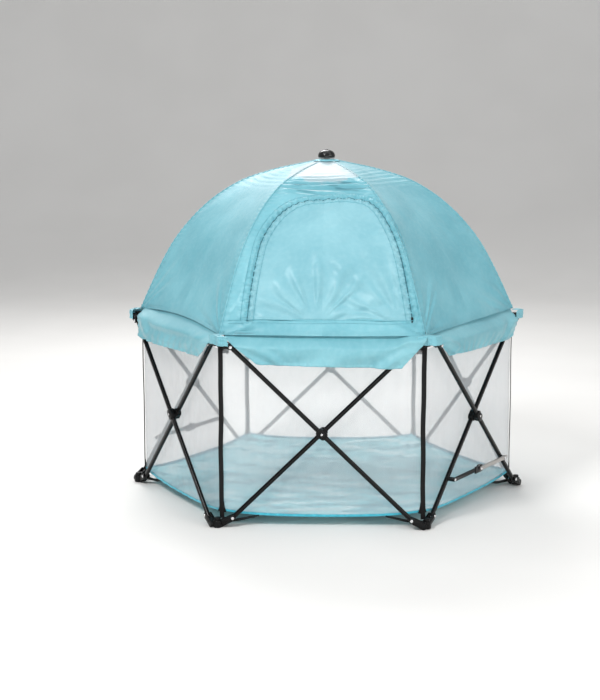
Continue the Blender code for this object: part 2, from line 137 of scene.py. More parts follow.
def panel_fold(i):
    return along(i), corner(i), WALL_KEEP


def floor_fold(i):
    return tangent(i), radial(i) * (SIDE - STRAP_D) + UP * STRAP_Z, FLOOR_KEEP


def mount(piece, body, replaces=None, fold=None):
    """Tie a piece to the frame; fold, the axis, anchor and share to squash it by, only gives the
    piece a mesh of its own here.
    """
    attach(piece, body)
    if fold:
        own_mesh(piece)
    if replaces:
        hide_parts(replaces)
    return piece


def on_rib(piece, i):
    """Cloth carried by rib i, with rib i's fold handed to mount."""
    return mount(piece, f"rib_{i}", fold=rib_fold(i))


# ------------------------------------------------------------ numbers and curves
NOISE_TABLE = np.random.default_rng(11).random((64, 64))


def noise(x, y, seed=0):
    """Smooth value noise in -1..1."""
    x = np.asarray(x, float) + 17.31 * seed
    y = np.asarray(y, float) + 5.77 * seed
    col, row = np.floor(x).astype(int), np.floor(y).astype(int)
    x, y = x - col, y - row
    x, y = x * x * (3 - 2 * x), y * y * (3 - 2 * y)

    def table(i, j):
        return NOISE_TABLE[i % 64, j % 64]

    value = (table(col, row) * (1 - x) * (1 - y) + table(col + 1, row) * x * (1 - y)
             + table(col, row + 1) * (1 - x) * y + table(col + 1, row + 1) * x * y)
    return 2 * value - 1


def fbm(x, y, seed):
    """Three octaves of noise."""
    return sum(0.5 ** k * noise(x * 2 ** k, y * 2 ** k, seed + 3 * k) for k in range(3)) / 1.75


def smooth(start, end, x):
    """Eased step from 0 at start to 1 at end."""
    share = np.clip((x - start) / (end - start), 0, 1)
    return share * share * (3 - 2 * share)


def bell(x, at, width):
    return np.exp(-((x - at) / width) ** 2)


def wave(x, pitch, shift=0.0):
    return np.sin(x * 2 * math.pi / pitch + shift)


def steps(full):
    return full


def shares(count):
    return np.linspace(0, 1, count)


def lattice(rows, columns):
    return np.meshgrid(rows, columns, indexing="ij")


def unit(vectors):
    return vectors / (np.linalg.norm(vectors, axis=-1, keepdims=True) + 1e-15)


def run_along(points):
    """Distance of each point along its line."""
    return np.concatenate([[0], np.cumsum(np.linalg.norm(np.diff(points, axis=0), axis=1))])


def spline(points, count):
    """A Catmull-Rom curve through the points, with count steps between neighbours."""
    points = np.array(points)
    padded = np.vstack([points[:1], points, points[-1:]])
    curve = []
    for before, start, end, after in zip(padded, padded[1:], padded[2:], padded[3:]):
        for share in np.linspace(0, 1, count, endpoint=False):
            curve.append(0.5 * (2 * start + (end - before) * share
                                + (2 * before - 5 * start + 4 * end - after) * share ** 2
                                + (3 * start - before - 3 * end + after) * share ** 3))
    curve.append(points[-1])
    return np.array(curve)


# ------------------------------------------------------------------ meshing
def new_object(name, mesh, *materials):
    for material in materials:
        mesh.materials.append(material)
    piece = bpy.data.objects.new(name, mesh)
    bpy.context.scene.collection.objects.link(piece)
    return piece


def from_bmesh(name, bm, *materials):
    mesh = bpy.data.meshes.new(name)
    bm.to_mesh(mesh)
    bm.free()
    return new_object(name, mesh, *materials)


def shade(piece, sharp=None):
    """Smooth shading, with edges over sharp degrees kept."""
    piece.data.shade_smooth()
    if sharp:
        piece.data.set_sharp_from_angle(angle=math.radians(sharp))
    return piece


def grid_mesh(name, points, uv, material, normals=None, flip=False):
    """A quad sheet from an array of rows of points."""
    rows, columns = points.shape[:2]
    index = np.arange(rows * columns).reshape(rows, columns)
    quads = np.stack([index[:-1, :-1], index[1:, :-1], index[1:, 1:], index[:-1, 1:]], -1)
    quads = quads.reshape(-1, 4)
    if flip:
        quads = quads[:, ::-1]
    mesh = bpy.data.meshes.new(name)
    mesh.from_pydata(points.reshape(-1, 3).tolist(), [], quads.tolist())
    mesh.update()
    layer = mesh.uv_layers.new(name="cloth")
    loops = np.empty(len(mesh.loops), int)
    mesh.loops.foreach_get("vertex_index", loops)
    layer.data.foreach_set("uv", uv.reshape(-1, 2)[loops].astype(np.float32).ravel())
    mesh.shade_smooth()
    if normals is not None:
        mesh.normals_split_custom_set_from_vertices(normals.reshape(-1, 3).tolist())
    return new_object(name, mesh, material)


def applied(piece):
    """The object with its modifiers made part of its mesh."""
    bpy.context.view_layer.update()
    deps = bpy.context.evaluated_depsgraph_get()
    mesh = bpy.data.meshes.new_from_object(piece.evaluated_get(deps),
                                           preserve_all_data_layers=True, depsgraph=deps)
    piece.modifiers.clear()
    piece.data = mesh
    return piece


def thicken(piece, thickness):
    solid = piece.modifiers.new("thick", "SOLIDIFY")
    solid.thickness = thickness
    solid.offset = 0.0
    solid.use_even_offset = False
    return applied(piece)


def rounded(piece, width, segments=2, angle=30):
    bevel = piece.modifiers.new("soft", "BEVEL")
    bevel.width = width
    bevel.segments = segments
    bevel.limit_method = "ANGLE"
    bevel.angle_limit = math.radians(angle)
    bevel.use_clamp_overlap = True
    return applied(piece)


def heading(path, k):
    return (path[min(k + 1, len(path) - 1)] - path[max(k - 1, 0)]).normalized()


def ribbon(name, path, sides, width, material, thick, crown):
    """A flat band along a path; sides gives its width direction at each point, and crown
    lifts its middle."""
    path = [Vector(point) for point in path]
    rows, uv = [], []
    run = 0.0
    for k, (point, side) in enumerate(zip(path, sides)):
        side = side.normalized()
        lift = side.cross(heading(path, k)).normalized()
        if k:
            run += (point - path[k - 1]).length
        cuts = (-0.5, -0.42, 0.0, 0.42, 0.5)
        rows.append([point + side * (cut * width) + lift * (crown * (1 - (2 * cut) ** 2))
                     for cut in cuts])
        uv.append([(cut * width, run) for cut in cuts])
    return thicken(grid_mesh(name, np.array(rows), np.array(uv), material), thick)


def bridge(bm, ring, other):
    """Quads between two closed rings of vertices."""
    count = len(ring)
    return [bm.faces.new((ring[j], ring[(j + 1) % count], other[(j + 1) % count], other[j]))
            for j in range(count)]


def loft(name, rings, material):
    """A closed solid through rings of points."""
    bm = bmesh.new()
    rings = [[bm.verts.new(point) for point in ring] for ring in rings]
    for ring, other in zip(rings, rings[1:]):
        bridge(bm, ring, other)
    bm.faces.new(rings[0][::-1])
    bm.faces.new(rings[-1])
    bmesh.ops.recalc_face_normals(bm, faces=bm.faces)
    return from_bmesh(name, bm, material)


def circle(radius, count=28):
    turns = [2 * math.pi * k / count for k in range(count)]
    return [(radius * math.cos(turn), radius * math.sin(turn)) for turn in turns]


def cord(name, path, radius, material):
    """A round cord of eight sides along a path."""
    path = [Vector(point) for point in path]
    rings = []
    lift = UP
    for k, point in enumerate(path):
        forward = heading(path, k)
        lift = (lift - forward * lift.dot(forward)).normalized()
        side = forward.cross(lift)
        rings.append([point + lift * x + side * y for x, y in circle(radius, 8)])
    return shade(loft(name, rings, material), sharp=50)


def merge(name, parts):
    """Several loose shapes of one material as one piece."""
    material = parts[0].data.materials[0]
    bm = bmesh.new()
    for part in parts:
        bm.from_mesh(part.data)
    for part in parts:
        bpy.data.objects.remove(part, do_unlink=True)
    return from_bmesh(name, bm, material)


# ------------------------------------------------------------ shader building
def feed(target, value):
    """Link a node input to a Value, or set it to a number, vector or colour."""
    if isinstance(value, Value):
        target.id_data.links.new(value.socket, target)
    elif target.type == "RGBA":
        target.default_value = (*value, 1.0)
    else:
        target.default_value = value


def maths(operation, *terms):
    """A Math node; at least one term is a Value."""
    tree = next(term for term in terms if isinstance(term, Value)).socket.id_data
    node = tree.nodes.new("ShaderNodeMath")
    node.operation = operation
    for k, term in enumerate(terms):
        feed(node.inputs[k], term)
    return Value(node.outputs[0])


class Value:
    """A node output that takes arithmetic: each operation adds a Math node."""

    def __init__(self, socket):
        self.socket = socket

    def __add__(self, other):
        return maths("ADD", self, other)

    def __radd__(self, other):
        return maths("ADD", other, self)

    def __sub__(self, other):
        return maths("SUBTRACT", self, other)

    def __rsub__(self, other):
        return maths("SUBTRACT", other, self)

    def __mul__(self, other):
        return maths("MULTIPLY", self, other)

    def __abs__(self):
        return maths("ABSOLUTE", self)

    def clamped(self):
        self.socket.node.use_clamp = True
        return self


def sine(value, pitch):
    return maths("SINE", value * (2 * math.pi / pitch))


def weave(x, y, pitch):
    """Plain weave height from two crossed waves."""
    return sine(x, pitch) * sine(y, pitch)


class Surface:
    """A material under construction."""

    def __init__(self, name):
        self.material = bpy.data.materials.new(name)
        self.material.use_nodes = True
        self.nodes = self.material.node_tree.nodes
        self.main = self.nodes["Principled BSDF"]

    def add(self, kind, inputs=(), output=0, **settings):
        node = self.nodes.new("ShaderNode" + kind)
        for name, value in settings.items():
            setattr(node, name, value)
        for key, value in dict(inputs).items():
            feed(node.inputs[key], value)
        return Value(node.outputs[output])

    def set(self, **inputs):
        """Inputs of the main shader, with _ for a space."""
        for name, value in inputs.items():
            feed(self.main.inputs[name.replace("_", " ")], value)

    def uv(self):
        """The cloth coordinates, whole and as x and y."""
        place = self.add("UVMap", uv_map="cloth")
        x = self.add("SeparateXYZ", {0: place})
        return place, x, Value(x.socket.node.outputs[1])

    def object_place(self):
        return self.add("TexCoord", output="Object")

    def noise(self, place, scale, detail=3.0, rough=0.5):
        return self.add("TexNoise", {"Scale": scale, "Detail": detail, "Roughness": rough,
                                     "Vector": place})

    def ramp(self, value, over, to=(0.0, 1.0)):
        """The value's range over, eased to the range to."""
        return self.add("MapRange", {0: value, 1: over[0], 2: over[1], 3: to[0], 4: to[1]},
                        interpolation_type="SMOOTHSTEP")

    def blend(self, under, over, share):
        return self.add("Mix", {0: share, 6: under, 7: over}, output=2, data_type="RGBA")

    def bump(self, height, strength, distance):
        self.set(Normal=self.add("Bump", {"Strength": strength, "Distance": distance,
                                          "Height": height}))

    def lit_through(self, colour, share):
        """The main shader with a share of the light let through the cloth."""
        through = self.add("BsdfTranslucent", {0: colour})
        return self.add("MixShader", {0: share, 1: Value(self.main.outputs[0]), 2: through})

    def show(self, shader):
        feed(self.nodes["Material Output"].inputs[0], shader)


# ---------------------------------------------------------------- materials
def crown_painted_highlight(skin, col, x, y, front):
    """Painted highlight where the cloth is pulled tight under the crown: its colour pales almost
    to white, with a crisp lower edge.
    """
    off_seam = abs(x)
    wobble = (skin.noise(skin.object_place(), scale=11.0) - 0.5) * 0.05
    # arc length of the lower edge, off the seam
    if front:
        foot = 0.742 - skin.ramp(off_seam, over=(0.015, 0.10), to=(0.0, 0.055))
    else:
        foot = 0.705 + off_seam * 1.3
    patch = skin.ramp(y - foot + wobble, over=(-0.004, 0.006))
    if front:
        # painted shade and painted highlights for the crumpled slack between that patch and the
        # door: a darker band with pale and dark streaks of noise drawn out crosswise
        sideways = skin.add("SeparateXYZ", {0: skin.object_place()})
        lie = skin.add("CombineXYZ", {0: sideways * 7.5, 1: y * 78.0 + sideways * 3.0})
        lines = skin.noise(lie, scale=1.0, detail=2.0)
        band = skin.ramp(y, over=(0.600, 0.640))
        col = skin.blend(col, over=(0.125, 0.430, 0.510), share=band * 0.55)
        high = band * skin.ramp(lines, over=(0.57, 0.65), to=(0.0, 0.70))
        low = band * skin.ramp(lines, over=(0.43, 0.36), to=(0.0, 0.75))
        col = skin.blend(col, over=(0.78, 0.93, 0.95), share=high)
        col = skin.blend(col, over=(0.045, 0.22, 0.28), share=low)
    # the patch is a painted highlight: a paler base colour under the crown
    return skin.blend(col, over=(0.40, 0.52, 0.56), share=patch * 0.88)


def canopy_material(name, colour, dark, seams=True, crown=""):
    """Thin satin polyester: fine weave, slow tone changes, soft sheen, a little light through
    it. seams draws the ridge and stitches at x = 0; crown, "front", "side" or none, adds a
    painted highlight under the crown, and on "front" painted shade and highlight streaks below
    it."""
    skin = Surface(name)
    place, x, y = skin.uv()
    tone = skin.noise(place, scale=5.0)
    fine = skin.noise(place, scale=60.0, detail=2.0)
    col = skin.blend(dark, over=colour, share=skin.ramp(tone, over=(0.30, 0.72)))
    col = skin.blend(col, over=(0.55, 0.82, 0.88),
                     share=skin.ramp(fine, over=(0.35, 0.8), to=(0.0, 0.10)))
    # painted highlight under the crown
    if crown:
        col = crown_painted_highlight(skin, col, x, y, crown == "front")
    if seams:
        stitch_at, stitch_width, stitch_pitch = 0.0075, 0.0007, 0.0045
        row = skin.ramp(abs(abs(x) - stitch_at), over=(stitch_width, stitch_width * 0.4))
        dash = skin.ramp(sine(y, stitch_pitch), over=(-0.6, -0.2))
        col = skin.blend(col, over=(0.10, 0.36, 0.43), share=row * dash * 0.45)
        edge = skin.ramp(abs(x), over=(0.0052, 0.0030))
        ridge = skin.ramp(abs(x), over=(0.0030, 0.0015))
        col = skin.blend(col, over=(0.08, 0.33, 0.40), share=(edge - ridge).clamped() * 0.55)
    skin.set(Base_Color=col, Roughness=skin.ramp(tone, over=(0.2, 0.8), to=(0.46, 0.36)),
             Sheen_Weight=0.30, Sheen_Roughness=0.35, Specular_IOR_Level=0.70,
             Coat_Weight=0.35, Coat_Roughness=0.30)
    height = (weave(x, y, pitch=0.0016) * 0.25
              + skin.noise(place, scale=38.0, detail=4.0, rough=0.6) * 1.1)
    skin.bump(height, strength=0.45, distance=0.0014)
    skin.show(skin.lit_through(col, share=0.16))
    return skin.material


def floor_material():
    """Ripstop cloth with painted highlights and painted shade standing for slack folds, and a
    faint painted glow.
    """
    skin = Surface("floor_cloth_ripstop")
    place, x, y = skin.uv()
    tone = skin.noise(place, scale=4.0)
    col = skin.blend((0.20, 0.66, 0.74), over=(0.31, 0.84, 0.91),
                     share=skin.ramp(tone, over=(0.3, 0.75)))
    stretched = skin.add("Mapping", {"Scale": (1.0, 4.4, 1.0), "Rotation": (0, 0, 0.22),
                                     "Vector": place})
    # painted highlights and painted shade of slack folds: pale and dark streaks of stretched
    # noise
    slack = skin.noise(stretched, scale=4.2, detail=4.0, rough=0.60)
    col = skin.blend(col, over=(0.80, 0.97, 0.99),
                     share=skin.ramp(slack, over=(0.51, 0.59), to=(0.0, 0.68)))
    col = skin.blend(col, over=(0.05, 0.33, 0.43),
                     share=skin.ramp(slack, over=(0.48, 0.40), to=(0.0, 0.75)))
    cords = [skin.ramp(sine(value, pitch=0.006), over=(0.90, 0.99)) for value in (x, y)]
    grid = maths("MAXIMUM", *cords)
    col = skin.blend(col, over=(0.18, 0.43, 0.50), share=grid * 0.30)
    # painted glow: a faint aqua emission
    skin.set(Base_Color=col, Roughness=0.55, Sheen_Weight=0.2,
             Emission_Color=(0.45, 0.80, 0.88), Emission_Strength=0.03)
    height = grid * 0.5 + skin.noise(place, scale=30.0, detail=4.0, rough=0.6) * 1.0
    skin.bump(height, strength=0.5, distance=0.0016)
    return skin.material


def net_material(name, cover, light, dark, painted_glow):
    """Fine netting: threads too small to count, with the shimmer of two layers, over
    see-through gaps. cover is the least share of thread; the last argument sets a painted
    glow, an emission that brightens the netting."""
    skin = Surface(name)
    place, x, y = skin.uv()
    warp = skin.noise(place, scale=3.0, detail=2.0) * 0.010
    bent = x + warp
    cell = 0.0030
    crossed = (sine(bent + y * 0.5, cell) + sine(bent - y * 0.5, cell)) * 0.5
    thread = skin.ramp(crossed, over=(-0.3, 0.4))
    streak = skin.noise(place, scale=14.0, rough=0.6)
    shimmer = sine(bent + warp * 6.0, pitch=0.011)
    cover = cover + thread * 0.12
    cover = cover + shimmer * 0.007
    cover = (cover + (streak - 0.5) * 0.05).clamped()
    col = skin.blend(light, over=dark,
                     share=skin.ramp(shimmer, over=(-1.0, 1.0), to=(0.0, 0.16)))
    # painted glow: an emission that lightens the netting
    skin.set(Base_Color=col, Roughness=0.7, Emission_Color=(1.0, 0.985, 0.985),
             Emission_Strength=painted_glow)
    cloth = skin.lit_through(col, share=0.45)
    clear = skin.add("BsdfTransparent")
    skin.show(skin.add("MixShader", {0: cover, 1: clear, 2: cloth}))
    return skin.material


def tube_material():
    skin = Surface("tube_black_coat")
    place = skin.object_place()
    dust = skin.noise(place, scale=90.0, detail=4.0, rough=0.65)
    col = skin.blend((0.0010, 0.0009, 0.0010), over=(0.0040, 0.0036, 0.0038),
                     share=skin.ramp(dust, over=(0.45, 0.85)))
    skin.set(Base_Color=col, Roughness=skin.ramp(dust, over=(0.3, 0.8), to=(0.16, 0.26)),
             Specular_IOR_Level=0.20, Coat_Weight=0.04, Coat_Roughness=0.08)
    skin.bump(skin.noise(place, scale=700.0), strength=0.12, distance=0.0003)
    return skin.material


def plastic_material(name, base, coat=0.0):
    """Black plastic, a little paler on its edges."""
    skin = Surface(name)
    place = skin.object_place()
    mottle = skin.noise(place, scale=45.0, detail=4.0, rough=0.6)
    col = skin.blend((base, base, base * 1.05), over=(base * 2.6, base * 2.6, base * 2.7),
                     share=skin.ramp(mottle, over=(0.4, 0.8)))
    edge = skin.ramp(skin.add("NewGeometry", output="Pointiness"), over=(0.53, 0.60),
                     to=(0.0, 0.20))
    col = skin.blend(col, over=(0.05, 0.05, 0.052), share=edge)
    skin.set(Base_Color=col, Roughness=skin.ramp(mottle, over=(0.3, 0.8), to=(0.26, 0.42)),
             Specular_IOR_Level=0.20, Coat_Weight=coat)
    skin.bump(skin.noise(place, scale=1400.0, detail=2.0), strength=0.25, distance=0.0004)
    return skin.material


def metal_material(name, colour, rough, bumps):
    skin = Surface(name)
    grain = skin.noise(skin.object_place(), scale=260.0, detail=4.0, rough=0.6)
    col = skin.blend(colour, over=tuple(0.72 * part for part in colour),
                     share=skin.ramp(grain, over=(0.35, 0.8)))
    skin.set(Base_Color=col, Metallic=1.0,
             Roughness=skin.ramp(grain, over=(0.3, 0.8), to=(rough * 0.8, rough * 1.3)))
    skin.bump(grain, strength=bumps, distance=0.0004)
    return skin.material


def webbing_material(name, colour, light):
    skin = Surface(name)
    place, x, y = skin.uv()
    woven = weave(x, y, pitch=0.0024)
    height = woven + sine(y, pitch=0.0018) * 0.6
    wear = skin.noise(place, scale=40.0)
    col = skin.blend(colour, over=light, share=skin.ramp(height, over=(-1.0, 1.4)))
    col = skin.blend(col, over=light, share=skin.ramp(wear, over=(0.5, 0.9), to=(0.0, 0.4)))
    skin.set(Base_Color=col, Roughness=0.72, Specular_IOR_Level=0.25, Sheen_Weight=0.05)
    skin.bump(height, strength=0.5, distance=0.0006)
    return skin.material


def trim_material(name, colour, dark):
    """Bound cloth edging."""
    skin = Surface(name)
    place, _, y = skin.uv()
    rib = sine(y, pitch=0.0016)
    tone = skin.noise(place, scale=50.0)
    col = skin.blend(dark, over=colour, share=skin.ramp(tone, over=(0.3, 0.8)))
    col = skin.blend(col, over=dark, share=skin.ramp(rib, over=(0.0, 1.0), to=(0.0, 0.15)))
    skin.set(Base_Color=col, Roughness=0.5, Sheen_Weight=0.2)
    skin.bump(rib * 0.4 + tone, strength=0.5, distance=0.001)
    return skin.material


SATIN = dict(colour=(0.205, 0.555, 0.640), dark=(0.130, 0.445, 0.530))
AQUA = canopy_material("canopy_satin_aqua", **SATIN)
# satin copies with painted light under the crown: the front one has a painted highlight and
# painted shade streaks, the side one a painted highlight
AQUA_CROWN_PAINTED_LIGHT = canopy_material("canopy_crown_front_painted_light", **SATIN, crown="front")
AQUA_SIDE_PAINTED_HIGHLIGHT = canopy_material("canopy_crown_side_painted_highlight", **SATIN, crown="side")
AQUA_DOOR = canopy_material("canopy_door_aqua", colour=(0.265, 0.575, 0.650),
                            dark=(0.190, 0.485, 0.565), seams=False)
SKIRT = canopy_material("canopy_skirt_aqua", colour=(0.240, 0.585, 0.660),
                        dark=(0.155, 0.475, 0.555), seams=False)
PIPING = trim_material("canopy_piping", colour=(0.15, 0.47, 0.56), dark=(0.08, 0.34, 0.42))
SEAM_TAPE = trim_material("canopy_seam_tape", colour=(0.26, 0.64, 0.73),
                          dark=(0.15, 0.49, 0.58))
ZIP = trim_material("zip_teal", colour=(0.055, 0.25, 0.31), dark=(0.02, 0.13, 0.17))
LOOP = canopy_material("pocket_loop_pale", colour=(0.30, 0.67, 0.75),
                       dark=(0.18, 0.53, 0.62), seams=False)
BINDING = trim_material("floor_binding_cyan", colour=(0.075, 0.56, 0.70),
                        dark=(0.04, 0.42, 0.55))
FLOOR = floor_material()
# all three nettings carry a painted glow; the left and right copies are darkened as painted
# shade for the side panels
NET = net_material("wall_netting", cover=0.33, light=(0.95, 0.925, 0.93),
                   dark=(0.80, 0.78, 0.785), painted_glow=0.11)
NET_LEFT_PAINTED_SHADE = net_material("wall_netting_left_painted_shade", cover=0.43, light=(0.62, 0.590, 0.600),
                        dark=(0.44, 0.420, 0.428), painted_glow=0.03)
NET_RIGHT_PAINTED_SHADE = net_material("wall_netting_right_painted_shade", cover=0.37, light=(0.84, 0.805, 0.815),
                         dark=(0.66, 0.635, 0.642), painted_glow=0.06)
TUBE = tube_material()
PLASTIC = plastic_material("plastic_black_satin", base=0.0015)
KNOB = plastic_material("knob_black_gloss", base=0.003, coat=0.5)
RIB = plastic_material("rib_dark_rod", base=0.02)
RIVET = metal_material("rivet_bright", colour=(0.80, 0.80, 0.80), rough=0.25, bumps=0.15)
BAR = metal_material("bar_grey_steel", colour=(0.46, 0.44, 0.42), rough=0.34, bumps=0.25)
WEB = webbing_material("webbing_black", colour=(0.002, 0.002, 0.0022),
                       light=(0.010, 0.010, 0.011))
TAPE = webbing_material("corner_tape_black", colour=(0.0012, 0.0012, 0.0013),
                        light=(0.0050, 0.0046, 0.0048))

# ------------------------------------------------------- canopy's shape
# over a rib, from the foot up: distance from the z axis, height over the upper pins
PROFILE = spline([
    (0.697, -0.004), (0.694, 0.022), (0.683, 0.046), (0.664, 0.089), (0.643, 0.134),
    (0.620, 0.182), (0.594, 0.232), (0.561, 0.288), (0.520, 0.343), (0.463, 0.404),
    (0.391, 0.463), (0.300, 0.515), (0.190, 0.551), (0.100, 0.571), (0.028, 0.586)], 16)
PROFILE_ARC = run_along(PROFILE)
ARC_END = PROFILE_ARC[-1]


def rho_of(arc):
    return np.interp(arc, PROFILE_ARC, PROFILE[:, 0])


def z_of(arc):
    return np.interp(arc, PROFILE_ARC, PROFILE[:, 1])


def arc_at_z(z):
    return np.interp(z, PROFILE[:, 1], PROFILE_ARC)


def arc_at_rho(rho):
    return np.interp(rho, PROFILE[::-1, 0], PROFILE_ARC[::-1])


# the fold between dome and skirt: its height over the upper pins at each corner, and how far
# its middle stands over the line between corners
FOLD_Z = (0.037, 0.035, 0.044, 0.038, 0.038, 0.040)
FOLD_RISE = (-0.003, 0.001, -0.003, -0.003, -0.003, 0.020)


def fold_z(i, across):
    start, end = FOLD_Z[i], FOLD_Z[(i + 1) % 6]
    return (start + (end - start) * across
            + FOLD_RISE[i] * np.sin(math.pi * np.clip(across, 0, 1)))


# the arched door's outline in the front gore, from its left foot to its right: x from the
# gore's middle and height over the upper pins, as shares of the panel width
DOOR = np.array([
    (-0.352, 0.088), (-0.350, 0.14), (-0.334, 0.276), (-0.309, 0.411), (-0.291, 0.478),
    (-0.255, 0.545), (-0.205, 0.602), (-0.150, 0.640), (-0.085, 0.660), (0.0, 0.668),
    (0.085, 0.672), (0.150, 0.667), (0.212, 0.653), (0.262, 0.618), (0.300, 0.566),
    (0.340, 0.489), (0.372, 0.391), (0.400, 0.256), (0.420, 0.14), (0.424, 0.088)])
DOOR_HEM = float(arc_at_z(0.083))
DOOR_ARCS = arc_at_z(DOOR[:, 1] * SIDE)
DOOR_ARCS[[0, -1]] = arc_at_z(0.080)
# the same line in metres, as x and arc length up the gore
DOOR_LINE = spline(np.column_stack([DOOR[:, 0] * SIDE, DOOR_ARCS]), 10)


def door_distance(x, arc):
    """Distance to the door's outline, positive inside, and the run along it."""
    points = np.stack([x.ravel(), arc.ravel()], 1)
    nearest = np.full(len(points), 9.0)
    run = np.zeros(len(points))
    starts = run_along(DOOR_LINE)
    for start, step, done in zip(DOOR_LINE, np.diff(DOOR_LINE, axis=0), starts):
        length = np.hypot(*step)
        away = points - start
        share = np.clip((away @ step) / (length ** 2 + 1e-12), 0, 1)
        distance = np.hypot(*(away - share[:, None] * step).T)
        hit = distance < nearest
        nearest[hit] = distance[hit]
        run[hit] = (done + share * length)[hit]
    inside = np.zeros(len(points), bool)
    for here, last in zip(DOOR_LINE, np.roll(DOOR_LINE, 1, axis=0)):
        spans = (here[1] > points[:, 1]) != (last[1] > points[:, 1])
        crossing = ((last[0] - here[0]) * (points[:, 1] - here[1])
                    / (last[1] - here[1] + 1e-15) + here[0])
        inside ^= spans & (points[:, 0] < crossing)
    return np.where(inside, nearest, -nearest).reshape(x.shape), run.reshape(x.shape)


def front_wrinkle(x, arc):
    """What the door adds to the front gore's wrinkles."""
    depth, run = door_distance(x, arc)
    # the zipped border: two soft ridges with puckers between them
    lump = 0.75 + 0.45 * noise(run * 14, depth * 30, seed=8)
    lift = 0.0058 * lump * bell(depth, at=-0.013, width=0.0075)
    lift += 0.0050 * (1.5 - lump) * bell(depth, at=0.012, width=0.0065)
    lift -= 0.0030 * bell(depth, at=-0.001, width=0.0035)
    border = bell(depth, at=-0.001, width=0.022)
    lift += 0.0030 * border * wave(
        run, pitch=0.031, shift=5 * noise(run * 9, depth * 25, seed=7) + depth * 60)
    lift += 0.0013 * border * wave(
        run, pitch=0.011, shift=4 * noise(run * 17, depth * 30, seed=9) - depth * 120)
    lift += 0.0030 * bell(depth, at=-0.034, width=0.012) * noise(run * 10, depth * 12, seed=10)
    # soft folds that cross the door, rising to the right
    inside = smooth(0.012, 0.05, depth)
    lift += 0.0105 * inside * fbm((arc - 0.75 * x) * 7, x * 2.2 + arc * 2, seed=71)
    # creases that fan out from two places at the door's foot
    low = arc - DOOR_HEM
    for aside, drop, reach, width, rays, seed in (
            (x + 0.02, 0.015, 0.13, 0.11, 17, 72), (0.26 - x, 0.010, 0.16, 0.13, 16, 73)):
        angle = np.arctan2(low + drop, aside)
        away = np.hypot(low, aside)
        lift += (0.0042 * inside * smooth(0.03, 0.09, away) * bell(away, at=reach, width=width)
                 * np.sin(angle * rays + 2 * noise(angle * 4, away * 6, seed)))
    # flat hem band under the door
    middle = smooth(0.30, 0.28, np.abs(x))
    lift += 0.0020 * smooth(DOOR_HEM + 0.003, DOOR_HEM - 0.002, arc) * middle
    lift -= 0.0016 * bell(arc, at=DOOR_HEM + 0.003, width=0.003) * middle
    return lift


def gore_wrinkle(i, across, arc):
    """How far the cloth stands off its gore's plane, in metres."""
    rho = rho_of(arc)
    x = (across - 0.5) * rho
    edge = np.minimum(across, 1 - across) * rho
    win = smooth(0.0, 0.05, edge)
    top = smooth(0.05, 0.16, rho)
    # the cloth is drawn slightly flat between the ribs
    lift = (-0.010 * np.sin(math.pi * across) * smooth(0.05, 0.25, arc)
            * smooth(0.08, 0.45, rho))
    lift += 0.0060 * fbm(x * 4.2, arc * 3.4, seed=20 + i) * win * top
    lift += 0.0016 * fbm(x * 13, arc * 9, seed=30 + i) * win * top
    # gathers along the seams
    lift += (0.0011 * bell(edge, at=0.006, width=0.016)
             * wave(arc, pitch=0.021, shift=5 * noise(arc * 9, i, seed=4)) * top)
    # tension lines fanning out of the lower corners
    low = arc - 0.03
    for sign, aside in ((1, across * rho), (-1, (1 - across) * rho)):
        angle = np.arctan2(low, aside + 0.02)
        away = np.hypot(low, aside)
        shift = 3 * noise(angle * 3, away * 5, seed=40 + i + sign)
        lift += (0.0020 * bell(away, at=0.10, width=0.11) * win
                 * np.sin(angle * 15 + shift))
    # slack folds across the top of each gore, strongest in the front one
    slack, height, width = (0.0022, 0.535, 0.024) if i else (0.0130, 0.516, 0.017)
    folds = wave(arc, pitch=0.030, shift=2.2 * noise(x * 7, arc * 3, seed=50 + i))
    lift += (slack * bell(z_of(arc), at=height, width=width) * folds * win
             * (0.6 + 0.4 * noise(x * 9, arc * 6, seed=60 + i)))
    if i == 0:
        lift += front_wrinkle(x, arc)
    return lift


def gore_base(i, across, arc):
    """Unwrinkled point at share across gore i and arc length arc from the profile's foot."""
    across = across[..., None]
    spread = RADIALS[i] * (1 - across) + RADIALS[(i + 1) % 6] * across
    points = spread * rho_of(arc)[..., None]
    points[..., 2] = z_of(arc) + Z_UP
    return points


def gore_point(i, across, arc):
    """The finished cloth surface, and its outward normal."""
    step = 1e-3
    sideways = gore_base(i, across + step, arc) - gore_base(i, across - step, arc)
    upward = (gore_base(i, across, np.minimum(arc + step, ARC_END))
              - gore_base(i, across, np.maximum(arc - step, 0)))
    normal = unit(np.cross(sideways, upward))
    points = gore_base(i, across, arc) + normal * gore_wrinkle(i, across, arc)[..., None]
    return points, normal


# ------------------------------------------------------------- canopy's cloth
# the rim turns under and up inside: height and outward offset of each row
RIM_HEM = ((-0.0012, -0.0004), (-0.0016, -0.0018), (-0.0004, -0.0032), (0.012, -0.0050))


def rib_surface(i, across, rise):
    """Cloth at both sides of rib i: across is in gores from the rib, rise from fold to crown."""
    points = np.zeros(across.shape + (3,))
    arcs = np.zeros_like(across)
    for gore, half, share in ((i, across >= 0, across),
                              ((i - 1) % 6, across < 0, 1 + across)):
        foot = arc_at_z(fold_z(gore, share[half]))
        arc = foot + (ARC_END - foot) * rise[half]
        cloth, normal = gore_point(gore, share[half], arc)
        off_seam = np.abs(across[half]) * rho_of(arc)
        ridge = 0.0024 * np.exp(-(off_seam / 0.0034) ** 4)
        points[half] = cloth + normal * ridge[..., None]
        arcs[half] = arc
    return points, arcs


